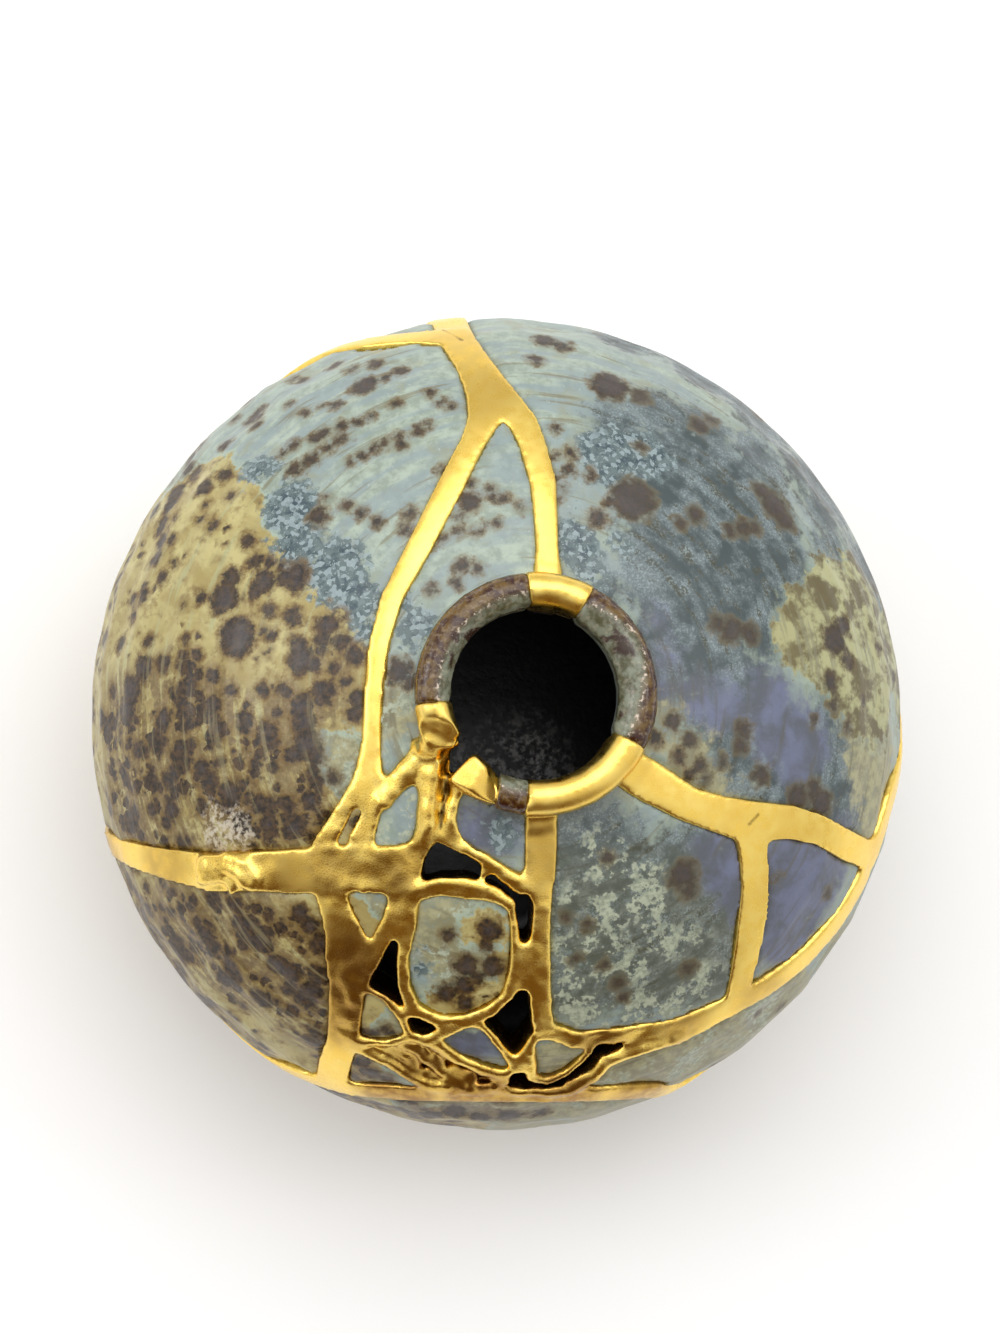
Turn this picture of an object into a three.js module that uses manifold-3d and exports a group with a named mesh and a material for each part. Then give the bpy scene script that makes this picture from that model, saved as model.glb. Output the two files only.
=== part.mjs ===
// A squat, hollow stoneware bud vase that was broken and mended with gold.
// Every ceramic piece is its own solid, and one branching gold seam holds them together.
// The front is left as an open lattice of gold with small chips set into it.
// Millimetres, +Z up, the origin on the ground under the middle of the foot.

import * as THREE from 'three';
import { mergeVertices } from 'three/addons/utils/BufferGeometryUtils.js';
import Module from 'manifold-3d';

const joinery = await Module();
joinery.setup();
const { Manifold, Mesh: SolidMesh } = joinery;

// The thrown form
const BELLY_RADIUS = 82.5;
const BELLY_HEIGHT = 50;
const GLOBE_HALF_HEIGHT = 55;
const WALL = 5.5;
const FOOT_OUTER = 41;
const FOOT_INNER = 35;
const FOOT_RECESS = 4;
const FLOOR = FOOT_RECESS + WALL;
const ROUND_STEPS = 30;

// The rolled lip round the mouth
const LIP_MIDDLE_RADIUS = 19.3;
const LIP_MIDDLE_HEIGHT = 107.7;
const LIP_HALF_WIDTH = 3.2;
const LIP_HALF_HEIGHT = 3.3;
const NECK_OUTER = 21.6;
const NECK_INNER = 16.8;
const NECK_FOOT = 100.5;
const MOUTH_LEVEL = 104.1;

// The gold
const PROUD = 0.7;
const INSIDE_PROUD = 0.5;
const LIP_SKIN = 0.5;
const JOINT_GAP = 0.3;
const HIDDEN_SEAM_WIDTH = 5;
const POCKET_DEPTH = 2.6;
const STEP_LENGTH = 12;
const LAYER = 0.3;

// Where the vase is looked at from. A place seen on its side is given as x and y
// across a picture 1000 wide and 1333 tall, and the sight line finds it on the globe.
const EYE = new THREE.Vector3(-69.2, -50.4, 643.9);
const AIM = new THREE.Vector3(0, 10.95, BELLY_HEIGHT);
const PICTURE_MIDDLE = new THREE.Vector2(500, 666.5);
const SIGHT_LENGTH = 2945;

const AHEAD = AIM.clone().sub(EYE).normalize();
const SIDEWAYS = AHEAD.clone().cross(new THREE.Vector3(0, 1, 0)).normalize();
const UPWARD = SIDEWAYS.clone().cross(AHEAD);
const SQUASH = BELLY_RADIUS / GLOBE_HALF_HEIGHT;
const ROUND_GLOBE = new THREE.Sphere(new THREE.Vector3(), BELLY_RADIUS);

const toRound = (p) => new THREE.Vector3(p.x, p.y, (p.z - BELLY_HEIGHT) * SQUASH);
const fromRound = (p) => new THREE.Vector3(p.x, p.y, p.z / SQUASH + BELLY_HEIGHT);
const ontoGlobe = (p) => fromRound(toRound(p).setLength(BELLY_RADIUS));

function outward(p) {
  const r2 = BELLY_RADIUS ** 2;
  const h2 = GLOBE_HALF_HEIGHT ** 2;
  return new THREE.Vector3(p.x / r2, p.y / r2, (p.z - BELLY_HEIGHT) / h2).normalize();
}

function sightedOnGlobe(x, y) {
  const line = AHEAD.clone().multiplyScalar(SIGHT_LENGTH);
  line.addScaledVector(SIDEWAYS, x - PICTURE_MIDDLE.x);
  line.addScaledVector(UPWARD, PICTURE_MIDDLE.y - y);
  const farEnd = toRound(EYE.clone().add(line));
  const start = toRound(EYE);
  const ray = new THREE.Ray(start, farEnd.sub(start).normalize());
  return fromRound(ray.intersectSphere(ROUND_GLOBE, new THREE.Vector3()));
}

const bearingVector = (degrees, radius, z = 0) => {
  const a = THREE.MathUtils.degToRad(degrees);
  return new THREE.Vector3(Math.cos(a) * radius, Math.sin(a) * radius, z);
};

// A seen point: place in the picture and the seam's width there.
// A hidden point: bearing round the vase, height and width.
const seen = (x, y, width = 0) => ({ at: sightedOnGlobe(x, y), width });
const hidden = (bearing, z, width = HIDDEN_SEAM_WIDTH) => {
  const level = Math.sqrt(1 - ((z - BELLY_HEIGHT) / GLOBE_HALF_HEIGHT) ** 2);
  return { at: bearingVector(bearing, BELLY_RADIUS * level, z), width };
};

const POINTS = {
  // Crown at the back and the two arms that come down from it
  backEdge: seen(449, 321, 7.5), crown: seen(456, 338, 7.5), crownSlope: seen(473, 363, 7.5),
  crownWide: seen(489, 391, 9.5), fork: seen(500, 405, 9),
  left1: seen(483, 422, 6.3), left2: seen(473, 442, 5), left3: seen(450, 487, 5.3),
  left4: seen(419, 547, 4.9), left5: seen(391, 600, 4.3), left6: seen(379, 645, 4.1),
  left7: seen(373, 700, 3.7), left8: seen(371, 742, 3.8), leftFork: seen(368, 779, 5.6),
  right1: seen(523, 422, 6), right2: seen(532, 442, 5.4), right3: seen(543, 482, 5.3),
  right4: seen(546, 522, 4.6), right5: seen(547, 550, 4.4), rightLip: seen(548, 572, 5.6),
  branch1: hidden(104.3, 70.1, 5.6), branch2: hidden(110.8, 65.1, 5.2), branch3: hidden(115.5, 57.5),

  // Left seam and its hub
  side1: seen(135, 856, 5.6), side2: seen(170, 865, 6.6), side3: seen(210, 872, 7.7),
  side4: seen(255, 871, 7.8), side5: seen(300, 871, 8.8), hub: seen(345, 868, 8.6),
  hubRight: seen(393, 870, 9.4), hubEnd: seen(410, 866, 7.4),
  outer1: seen(346, 806, 3.2), outer2: seen(329, 834, 3.8), outer3: seen(322, 852, 4.9),
  inner1: seen(371, 812, 3.6), inner2: seen(363, 836, 4.7), inner3: seen(360, 856, 5.6),

  // Trunk under the broken lip
  stub: seen(437, 742, 4.8), cross1: seen(428, 753, 5.6), cross2: seen(405, 775, 4.8),
  cross3: seen(387, 789, 4.4), trunk1: seen(434, 765, 5.6), trunk2: seen(432, 795, 4.8),
  trunk3: seen(430, 822, 4.4), trunk4: seen(421, 848, 4.8),
  facet0: seen(452, 787, 2.8), facet1: seen(451, 800, 2.3), facet2: seen(448, 818, 2.3),
  facet3: seen(443, 838, 2.6),
  thin1: seen(464, 849, 2.2), thin2: seen(488, 863, 2.5), thin3: seen(508, 877, 3.1),
  thin4: seen(527, 888, 3.8),

  // Front post
  post0: seen(541, 806, 6), post1: seen(541, 845, 6.2), post2: seen(540, 878, 5.8),
  post3: seen(541, 897, 4.1), post4: seen(541, 918, 3.6), post5: seen(540, 942, 4.2),
  post6: seen(537, 966, 5.3), post7: seen(540, 995, 4.2), post8: seen(542, 1018, 4.2),
  postFoot: seen(544, 1030, 4),

  // Ring round the island
  ring0: seen(412, 895, 2.7), ring1: seen(440, 887, 3.3), ring2: seen(466, 888, 3.8),
  ring3: seen(495, 896, 2.4), ring4: seen(512, 908, 1.8), ring5: seen(515, 935, 1.6),
  ring6: seen(515, 966, 2.4), ring7: seen(508, 994, 2.4), ring8: seen(492, 1009, 2.8),
  ring9: seen(466, 1019, 2.4), ring10: seen(440, 1020, 2.4), ring11: seen(414, 1008, 2.8),
  ring12: seen(404, 985, 2.7), ring13: seen(403, 955, 2.5), ring14: seen(410, 925, 2.5),

  // Front-left leg and the tie beside it
  leg0: seen(330, 893, 6.5), leg1: seen(338, 916, 6.6), leg2: seen(346, 940, 8.4),
  leg3: seen(350, 962, 9.6), leg4: seen(347, 988, 7.4), leg5: seen(345, 1015, 6.6),
  leg6: seen(343, 1040, 6.3), leg7: seen(335, 1063, 6.4), leg8: seen(331, 1083, 6.5),
  tie0: seen(397, 900, 3.4), tie1: seen(391, 920, 3.4), tie2: seen(382, 940, 3.7),
  tie3: seen(366, 965, 4.2),

  // Fine strands round the small chips at the foot of the lattice
  small1: seen(366, 987, 1.7), small2: seen(386, 997, 1.7), small3: seen(401, 1014, 1.8),
  small4: seen(410, 1036, 1.9), small5: seen(362, 1040, 1.9), small6: seen(386, 1042, 1.6),
  edge1: seen(357, 1045, 2), edge2: seen(385, 1060, 1.8), edge3: seen(408, 1075, 1.9),
  edge4: seen(424, 1085, 2.6),
  mid1: seen(425, 1039, 2.6), mid2: seen(446, 1031, 2.4), mid3: seen(470, 1022, 2),
  mid4: seen(484, 1025, 1.9), mid5: seen(499, 1042, 1.8), mid6: seen(511, 1059, 1.9),
  mid7: seen(440, 1043, 2), mid8: seen(458, 1057, 2), mid9: seen(482, 1067, 2.2),
  mid10: seen(505, 1073, 2.4), mid11: seen(515, 1068, 2.2),
  chip1: seen(531, 1040, 1.8), chip2: seen(529, 1058, 2.7), chip3: seen(532, 1078, 2.6),
  chip4: seen(520, 1056, 1.6), chip5: seen(548, 1080, 1.7), chip6: seen(568, 1071, 1.5),
  chip7: seen(584, 1056, 1.5), chip8: seen(590, 1048, 1.5),

  // Lower curve, its rope-like second strand, and the front belly seam
  curve1: seen(575, 1039, 3.8), curve2: seen(625, 1035, 4.3), curve3: seen(678, 1026, 4.3),
  curve4: seen(725, 1009, 6), curve5: seen(765, 988, 6), curve6: seen(805, 958, 6.4),
  curve7: seen(838, 921, 6.6), curve8: seen(860, 885, 6.8), curve9: seen(875, 850, 7),
  curve10: hidden(-12.5, 66.2, 6.2), curve11: hidden(-6.5, 60.5, 6),
  rope0: seen(570, 1086, 4.4), rope1: seen(592, 1074, 3.8), rope2: seen(604, 1061, 3.6),
  rope3: seen(640, 1047, 3.6), rope4: seen(685, 1034, 3.9),
  belly1: hidden(241, 57, 5.5), belly2: seen(345, 1088, 5.5), belly3: seen(400, 1093, 5),
  belly4: seen(450, 1095, 4.2), belly5: seen(500, 1095, 4.2), belly6: seen(560, 1093, 5.2),
  belly7: seen(610, 1093, 5.4), belly8: seen(650, 1091, 5.4),

  // Right arm and right leg
  arm0: seen(632, 771, 7.9), arm1: seen(652, 783, 7.9), arm2: seen(690, 805, 6.8),
  arm3: seen(722, 815, 7.2), arm4: seen(752, 823, 8.4), arm5: seen(790, 822, 6.6),
  arm6: seen(820, 830, 5.9), arm7: seen(848, 846, 6), arm8: seen(866, 854, 5.8),
  drop1: seen(753, 850, 6.4), drop2: seen(755, 885, 6.4), drop3: seen(752, 920, 6.8),
  drop4: seen(746, 955, 6.4), drop5: seen(740, 982, 5.8), drop6: seen(735, 1000, 6),

  // Round the far sides and the back
  leftDown: hidden(198, 51.5), leftJoin: hidden(195, 37), backLeftLow: hidden(166, 35),
  backLeftJoin: hidden(141, 36), backLow: hidden(120, 34), backDown: hidden(99, 50, 6),
  backJoin: hidden(101, 37), rightLow1: hidden(70, 40), rightJoin: hidden(38, 37),
  branchDown1: hidden(120.5, 48.5), branchDown2: hidden(130, 41),
  curveDown1: hidden(2, 50.5), curveDown2: hidden(16, 43),
  bellyRight1: hidden(-64.5, 51), bellyRight2: hidden(-50, 40.5), bellyRight3: hidden(-10, 36),
  bellyLeft1: hidden(236.5, 49), bellyLeft2: hidden(229, 42.5), bellyLeft3: hidden(213, 37),

  // Where strips reach the mouth
  mouthTop: hidden(83, MOUTH_LEVEL, 5.6), mouthFront: hidden(-86, MOUTH_LEVEL, 6),
  mouthRight: hidden(-37, MOUTH_LEVEL, 6.5), mouthStub: hidden(206, MOUTH_LEVEL, 4.8),
  mouthFacet: hidden(229, MOUTH_LEVEL, 2.8),

  // Short ties
  web1: seen(514, 955, 5), web2: seen(538, 955, 5), web3: seen(513, 979, 4.6), web4: seen(538, 979, 4.6),
};

const names = (...spans) => spans.flatMap((span) => {
  const [stem, first, last] = span.split(' ');
  if (last === undefined) return [span];
  return Array.from({ length: last - first + 1 }, (unused, i) => `${stem}${Number(first) + i}`);
});

const SEAMS = [
  names('fork', 'crownWide', 'crownSlope', 'crown', 'backEdge', 'backDown', 'backJoin'),
  names('crownWide', 'left 1 8', 'leftFork'),
  names('crownWide', 'right 1 5', 'rightLip', 'mouthTop'),
  names('crown', 'branch 1 3', 'branchDown1', 'branchDown2', 'backLeftJoin'),
  names('leftJoin', 'leftDown', 'side 1 5', 'hub', 'hubRight', 'hubEnd'),
  names('leftFork', 'outer 1 3'),
  names('leftFork', 'inner 1 3'),
  names('stub', 'cross 1 3', 'leftFork'),
  names('mouthStub', 'stub'),
  names('mouthFacet', 'facet0'),
  names('stub', 'trunk 1 4', 'hubRight'),
  names('facet 0 3', 'trunk4'),
  names('facet3', 'thin 1 4'),
  names('mouthFront', 'post 0 8', 'postFoot'),
  names('web1', 'web2'),
  names('web3', 'web4'),
  names('tie1', 'ring14'),
  names('chip4', 'mid11'),
  names('ring 0 8'),
  names('ring 8 14', 'ring0'),
  names('hubEnd', 'ring0'),
  names('hub', 'leg 0 8'),
  names('hubRight', 'tie 0 3', 'leg4'),
  names('leg4', 'small 1 4'),
  names('leg6', 'small5', 'small6', 'small4'),
  names('leg6', 'edge 1 4'),
  names('small4', 'mid 1 4'),
  names('mid 4 6', 'mid11'),
  names('mid1', 'mid 7 11'),
  names('ring10', 'mid2'),
  names('ring11', 'small3'),
  names('postFoot', 'chip 1 3', 'belly5'),
  names('chip1', 'chip4', 'mid6'),
  names('chip3', 'chip 5 8', 'curve1'),
  names('mid11', 'chip2'),
  names('postFoot', 'curve 1 11', 'curveDown1', 'curveDown2', 'rightJoin'),
  names('rope 0 4', 'curve4'),
  names('leftJoin', 'bellyLeft3', 'bellyLeft2', 'bellyLeft1', 'belly 1 8', 'bellyRight 1 3', 'rightJoin'),
  names('mouthRight', 'arm 0 8', 'curve9'),
  names('arm4', 'drop 1 6', 'curve4'),
  names('leftJoin', 'backLeftLow', 'backLeftJoin', 'backLow', 'backJoin', 'rightLow1', 'rightJoin'),
];

// Open holes through the lattice, as outlines in the picture
const GAPS = {
  upper: [[436, 842], [452, 849], [470, 857], [486, 868], [503, 882], [517, 893], [533, 901],
    [531, 938], [519, 938], [518, 915], [512, 900], [496, 890], [478, 880], [462, 876],
    [440, 878], [420, 884], [425, 860]],
  left: [[393, 938], [397, 950], [396, 975], [394, 1000], [383, 993], [369, 985], [380, 963]],
  right: [[521, 997], [528, 1003], [531, 1018], [528, 1035], [519, 1052], [513, 1056],
    [500, 1040], [484, 1022], [505, 1012], [514, 1005]],
  low: [[516, 1066], [524, 1077], [545, 1083], [530, 1089], [512, 1088], [506, 1083]],
  crescent: [[545, 1084], [562, 1076], [580, 1063], [596, 1046], [611, 1044], [600, 1057],
    [588, 1070], [568, 1080]],
  nick: [[417, 1019], [432, 1026], [434, 1032], [424, 1034]],
};
// The sunken gold hollow beside them
const POCKET = [[366, 1044], [388, 1046], [412, 1040], [432, 1043], [450, 1058], [480, 1072],
  [508, 1079], [506, 1088], [430, 1088], [410, 1077], [385, 1061]];

// Gold on the lip: bearings of the two ends at the outside and at the inside of the lip
const LIP_GOLD = {
  top: [61, 96, 63, 94],
  lowerRight: [264, 333, 263, 335],
  stub: [186, 204, 184, 212],
  facet: [225, 252, 223, 243],
};
const LIP_NOTCH = [199, 233, 199, 233];

function solid(geometry) {
  geometry.deleteAttribute('normal');
  geometry.deleteAttribute('uv');
  const welded = mergeVertices(geometry, 1e-4);
  const corners = welded.index.array;
  const faces = [];
  for (let i = 0; i < corners.length; i += 3) {
    const face = [corners[i], corners[i + 1], corners[i + 2]];
    if (new Set(face).size === 3) faces.push(...face);
  }
  return new Manifold(new SolidMesh({
    numProp: 3,
    vertProperties: new Float32Array(welded.attributes.position.array),
    triVerts: new Uint32Array(faces),
  }));
}

function warp(geometry, place) {
  const spots = geometry.attributes.position;
  const spot = new THREE.Vector3();
  for (let i = 0; i < spots.count; i += 1) {
    const moved = place(spot.fromBufferAttribute(spots, i));
    spots.setXYZ(i, moved.x, moved.y, moved.z);
  }
  return solid(geometry);
}

const lifted = (p, lift) => {
  const ground = ontoGlobe(p);
  return ground.addScaledVector(outward(ground), lift);
};

function spun(profile) {
  const lathe = new THREE.LatheGeometry(profile.map(([r, z]) => new THREE.Vector2(r, z)), ROUND_STEPS);
  return solid(lathe.rotateX(Math.PI / 2));
}

const arc = (radius, halfHeight, from, to, steps) => Array.from({ length: steps + 1 }, (unused, i) => {
  const a = THREE.MathUtils.degToRad(THREE.MathUtils.lerp(from, to, i / steps));
  return [radius * Math.cos(a), BELLY_HEIGHT + halfHeight * Math.sin(a)];
});

const roll = (skin, from, to, steps) => Array.from({ length: steps + 1 }, (unused, i) => {
  const a = THREE.MathUtils.degToRad(THREE.MathUtils.lerp(from, to, i / steps));
  return [
    LIP_MIDDLE_RADIUS + (LIP_HALF_WIDTH + skin) * Math.cos(a),
    LIP_MIDDLE_HEIGHT + (LIP_HALF_HEIGHT + skin) * Math.sin(a),
  ];
});

// One turned body: recessed foot, globe, neck, rolled lip, then down the inside to the floor
const lowAngle = -THREE.MathUtils.radToDeg(Math.acos(FOOT_OUTER / BELLY_RADIUS));
const highAngle = THREE.MathUtils.radToDeg(Math.acos((NECK_OUTER + 2) / BELLY_RADIUS));
const INSIDE_RADIUS = BELLY_RADIUS - WALL;
const INSIDE_HALF = GLOBE_HALF_HEIGHT - WALL;
const floorAngle = THREE.MathUtils.radToDeg(Math.asin((FLOOR + 2 - BELLY_HEIGHT) / INSIDE_HALF));
const mouthAngle = THREE.MathUtils.radToDeg(Math.acos((NECK_INNER + 2.5) / INSIDE_RADIUS));
const vessel = spun([
  [0, FOOT_RECESS], [FOOT_INNER - 0.6, FOOT_RECESS], [FOOT_INNER, 0.5], [FOOT_INNER + 0.8, 0],
  [FOOT_OUTER - 1.2, 0], [FOOT_OUTER - 0.3, 0.8],
  ...arc(BELLY_RADIUS, GLOBE_HALF_HEIGHT, lowAngle, highAngle, 11),
  [NECK_OUTER, 104.2],
  ...roll(0, -30, 210, 6),
  [NECK_INNER, NECK_FOOT],
  ...arc(INSIDE_RADIUS, INSIDE_HALF, mouthAngle, floorAngle, 7),
  [INSIDE_RADIUS * Math.cos(THREE.MathUtils.degToRad(floorAngle)) - 7, FLOOR],
  [0, FLOOR],
]);

// Steps along a route: the place, the direction and the width at each
function alongRoute(route) {
  const spots = route.map((name) => POINTS[name]);
  const spans = spots.length - 1;
  const line = new THREE.CatmullRomCurve3(spots.map(({ at }) => at));
  return spots.flatMap((spot, i) => {
    if (i === spans) return [{ at: spot.at, along: line.getTangent(1), width: spot.width }];
    const next = spots[i + 1];
    const cuts = Math.max(1, Math.round(spot.at.distanceTo(next.at) / STEP_LENGTH));
    return Array.from({ length: cuts }, (unused, k) => {
      const t = (i + k / cuts) / spans;
      const width = THREE.MathUtils.lerp(spot.width, next.width, k / cuts);
      return { at: line.getPoint(t), along: line.getTangent(t), width };
    });
  });
}

// A strip of seam: it follows its route over the globe and goes right through the wall
function strip(route, grow, top, bottom) {
  const stations = alongRoute(route);
  const steps = stations.length - 1;
  const box = new THREE.BoxGeometry(1, 1, 1, steps, 1, 1);
  return warp(box, (p) => {
    const { at, along, width } = stations[Math.round((p.x + 0.5) * steps)];
    const across = outward(at).cross(along).normalize();
    const side = at.clone().addScaledVector(across, p.y * (width + 2 * grow));
    if (Math.abs(p.x) > 0.499) side.addScaledVector(along, Math.sign(p.x) * grow);
    return lifted(side, p.z > 0 ? top : -bottom);
  });
}

// A round boss that fills the corner where strips meet
function boss(name, grow, top, bottom) {
  const { at, width } = POINTS[name];
  const out = outward(at);
  const east = new THREE.Vector3(1, 0, 0).cross(out).normalize();
  const north = east.clone().cross(out);
  const drum = new THREE.CylinderGeometry(width / 2 + grow, width / 2 + grow, 1, 8);
  return warp(drum, (p) => {
    const side = at.clone().addScaledVector(east, p.x).addScaledVector(north, p.z);
    return lifted(side, p.y > 0 ? top : -bottom);
  });
}

// A plug through the wall with its outline given in the picture
function plug(outline, top, bottom, size = 1) {
  const middle = new THREE.Vector2();
  outline.forEach(([x, y]) => middle.add(new THREE.Vector2(x, y).divideScalar(outline.length)));
  const shape = new THREE.Shape(outline.map(([x, y]) => new THREE.Vector2(
    middle.x + (x - middle.x) * size,
    -(middle.y + (y - middle.y) * size),
  )));
  const block = new THREE.ExtrudeGeometry(shape, { depth: 1, bevelEnabled: false });
  return warp(block, (p) => lifted(sightedOnGlobe(p.x, -p.y), p.z > 0.5 ? top : -bottom));
}

// A length of lip between two bearings
function lipLength([fromOuter, toOuter, fromInner, toInner], skin, grow) {
  const sweep = 4;
  const outer = Array.from({ length: sweep + 1 }, (unused, i) => bearingVector(
    THREE.MathUtils.lerp(fromOuter - grow, toOuter + grow, i / sweep), 27));
  const inner = Array.from({ length: sweep + 1 }, (unused, i) => bearingVector(
    THREE.MathUtils.lerp(toInner + grow, fromInner - grow, i / sweep), 13));
  const wedge = new THREE.Shape([...outer, ...inner].map((p) => new THREE.Vector2(p.x, p.y)));
  const block = new THREE.ExtrudeGeometry(wedge, { depth: 20, bevelEnabled: false });
  const foot = NECK_FOOT + 1.3 - skin;
  const ring = spun([
    [NECK_INNER - 0.2 - skin, foot], [NECK_OUTER + skin, foot], [NECK_OUTER + skin, 104.2],
    ...roll(skin, -30, 210, 6), [NECK_INNER - 0.2 - skin, foot],
  ]);
  return ring.intersect(solid(block.translate(0, 0, 96)));
}

const join = (list) => list.reduce((whole, one) => whole.add(one));
const BOSSES = ['leftFork', 'stub', 'leg8', 'leftJoin', 'backLeftJoin', 'backJoin', 'rightJoin'];
// Each strip was laid by hand, so neighbours differ a little in thickness
const laid = (i) => LAYER * (i % 5);
const web = (grow, top, bottom) => join([
  ...SEAMS.map((route, i) => strip(route, grow, top + laid(i) / 3, bottom + laid(i))),
  ...BOSSES.map((name) => boss(name, grow, top - LAYER / 3, bottom - LAYER)),
]);

const holes = join(Object.values(GAPS).map((outline) => plug(outline, 8, WALL + 8)));
const notch = lipLength(LIP_NOTCH, 3, 0);
const bore = solid(new THREE.CylinderGeometry(NECK_INNER - 0.5, NECK_INNER - 0.5, 30, ROUND_STEPS)
  .rotateX(Math.PI / 2).translate(0, 0, NECK_FOOT));

const goldwork = join([
  web(0, PROUD, WALL + INSIDE_PROUD).subtract(holes).subtract(bore),
  plug(POCKET, -POCKET_DEPTH, WALL + INSIDE_PROUD),
  ...Object.values(LIP_GOLD).map((length) => lipLength(length, LIP_SKIN, 0)),
]);

const [gold] = goldwork.decompose().sort((a, b) => b.volume() - a.volume());

const broken = vessel
  .subtract(web(JOINT_GAP, PROUD + 4, WALL + 4))
  .subtract(join([holes, plug(POCKET, 4, WALL + 4, 1.04), notch]))
  .subtract(join(Object.values(LIP_GOLD).map((length) => lipLength(length, LIP_SKIN + JOINT_GAP, 0.9))));

// One place on each ceramic piece, and its glaze
const PIECES = {
  base_bowl: [hidden(0, 20), 0x9a9683],
  left_shoulder: [seen(230, 600), 0xa89a66],
  neck_piece: [seen(480, 540), 0x93a5a8],
  right_shoulder: [seen(720, 520), 0x87959f],
  left_belly: [seen(240, 960), 0x8d8460],
  front_piece: [seen(640, 920), 0x7f8f92],
  violet_piece: [seen(800, 900), 0x84869a],
  right_belly: [seen(700, 1060), 0x8f948a],
  back_piece: [hidden(109, 46), 0x93a5a8],
  sliver_chip: [seen(351, 828), 0x9aa08c],
  teardrop_chip: [seen(400, 820), 0x8e9a98],
  triangle_chip: [seen(366, 912), 0x98a088],
  lip_chip: [seen(490, 830), 0x7d8596],
  island_chip: [seen(465, 950), 0x93987f],
  small_left_chip: [seen(382, 1022), 0x8d907c],
  small_middle_chip: [seen(478, 1046), 0x7f8792],
  front_sliver_chip: [seen(372, 1074), 0x7d755d],
  small_right_chip: [seen(556, 1058), 0x83887f],
};
const CRUMB = 30;

function meshOf(body, name, finish) {
  const { vertProperties, triVerts } = body.getMesh();
  const geometry = new THREE.BufferGeometry();
  geometry.setAttribute('position', new THREE.BufferAttribute(vertProperties, 3));
  geometry.setIndex(new THREE.BufferAttribute(triVerts, 1));
  const faceted = geometry.toNonIndexed();
  faceted.computeVertexNormals();
  const mesh = new THREE.Mesh(faceted, new THREE.MeshStandardMaterial(finish));
  mesh.name = name;
  return mesh;
}

const vase = new THREE.Group();
vase.name = 'mended_bud_vase';
const pieces = broken.decompose().filter((piece) => piece.volume() > CRUMB);
for (const [name, [{ at }, colour]] of Object.entries(PIECES)) {
  const probe = solid(new THREE.BoxGeometry(1, 1, 1).translate(...lifted(at, -WALL / 2).toArray()));
  const piece = pieces.find((body) => body.intersect(probe).volume() > 0);
  vase.add(meshOf(piece, name, { color: colour, roughness: 0.35 }));
}
vase.add(meshOf(gold, 'gold_seams', { color: 0xd8a83e, metalness: 1, roughness: 0.35 }));

export default vase;
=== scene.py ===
# %% [markdown]
# A mended bud vase
#
# A squat stoneware vase was broken and put together again with gold. The solids of
# every ceramic piece and of the gold seam already exist, in metres, with +Z up. This
# lesson gives them their real surface: a thrown and glazed skin, softened edges, and a
# satin gold seam with lumps, pits and beads. The first step loads the solids.

# %% Load the solids
import math
import random
from types import SimpleNamespace
import bpy
import bmesh
import numpy as np
from mathutils import Matrix, Vector, kdtree, noise


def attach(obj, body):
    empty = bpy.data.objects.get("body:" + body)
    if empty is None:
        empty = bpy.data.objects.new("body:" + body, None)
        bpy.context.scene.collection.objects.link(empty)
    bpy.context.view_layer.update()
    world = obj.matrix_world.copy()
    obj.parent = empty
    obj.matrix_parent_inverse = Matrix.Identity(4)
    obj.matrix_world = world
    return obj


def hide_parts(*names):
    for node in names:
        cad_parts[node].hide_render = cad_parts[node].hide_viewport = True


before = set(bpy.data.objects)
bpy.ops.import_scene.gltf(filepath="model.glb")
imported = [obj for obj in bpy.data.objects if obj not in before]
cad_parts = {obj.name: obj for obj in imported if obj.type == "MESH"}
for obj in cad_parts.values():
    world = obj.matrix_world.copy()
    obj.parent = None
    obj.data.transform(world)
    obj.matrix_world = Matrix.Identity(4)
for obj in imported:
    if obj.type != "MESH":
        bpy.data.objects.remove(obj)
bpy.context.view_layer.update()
scene = bpy.context.scene
MM = 0.001
print("pieces loaded:", len(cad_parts))

# %% [markdown]
# The camera comes first, because places on the vase are easiest to name by where they
# show in the picture, 1000 wide and 1333 tall. The vase is seen almost from above. The
# camera is turned by a matrix and not by tracking, since tracking would roll a camera
# that looks straight down. The eye and its aim are in millimetres.

# %% Set the camera and the sight lines
EYE = Vector((-69.2, -50.4, 643.9))
AIM = Vector((0.0, 10.95, 50.0))
PICTURE_WIDTH, PICTURE_HEIGHT = 1000, 1333
SIGHT_LENGTH = 2945
SENSOR = 36.0
NEAREST = 0.01

ahead = (AIM - EYE).normalized()
sideways = ahead.cross(Vector((0, 1, 0))).normalized()
upward = sideways.cross(ahead)

camera = bpy.data.objects.new("camera", bpy.data.cameras.new("camera"))
scene.collection.objects.link(camera)
camera.data.sensor_width = SENSOR
camera.data.lens = SIGHT_LENGTH * SENSOR / PICTURE_HEIGHT
camera.data.clip_start = NEAREST
turn = Matrix((sideways, upward, -ahead)).transposed().to_4x4()
camera.matrix_world = Matrix.Translation(EYE * MM) @ turn
scene.camera = camera
print("lens in mm:", round(camera.data.lens, 1))

# %% [markdown]
# The body is a squashed globe. A few short functions are enough to work on it: one
# finds the place on the globe behind a point of the picture, two find a place by its
# bearing, and one tells how far a point stands off the globe and which way is out.
# Sizes here are in millimetres.

# %% Describe the globe
BELLY_RADIUS = 82.5
HALF_HEIGHT = 55.0
BELLY_HEIGHT = 50.0
CENTRE = Vector((0, 0, BELLY_HEIGHT))


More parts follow.
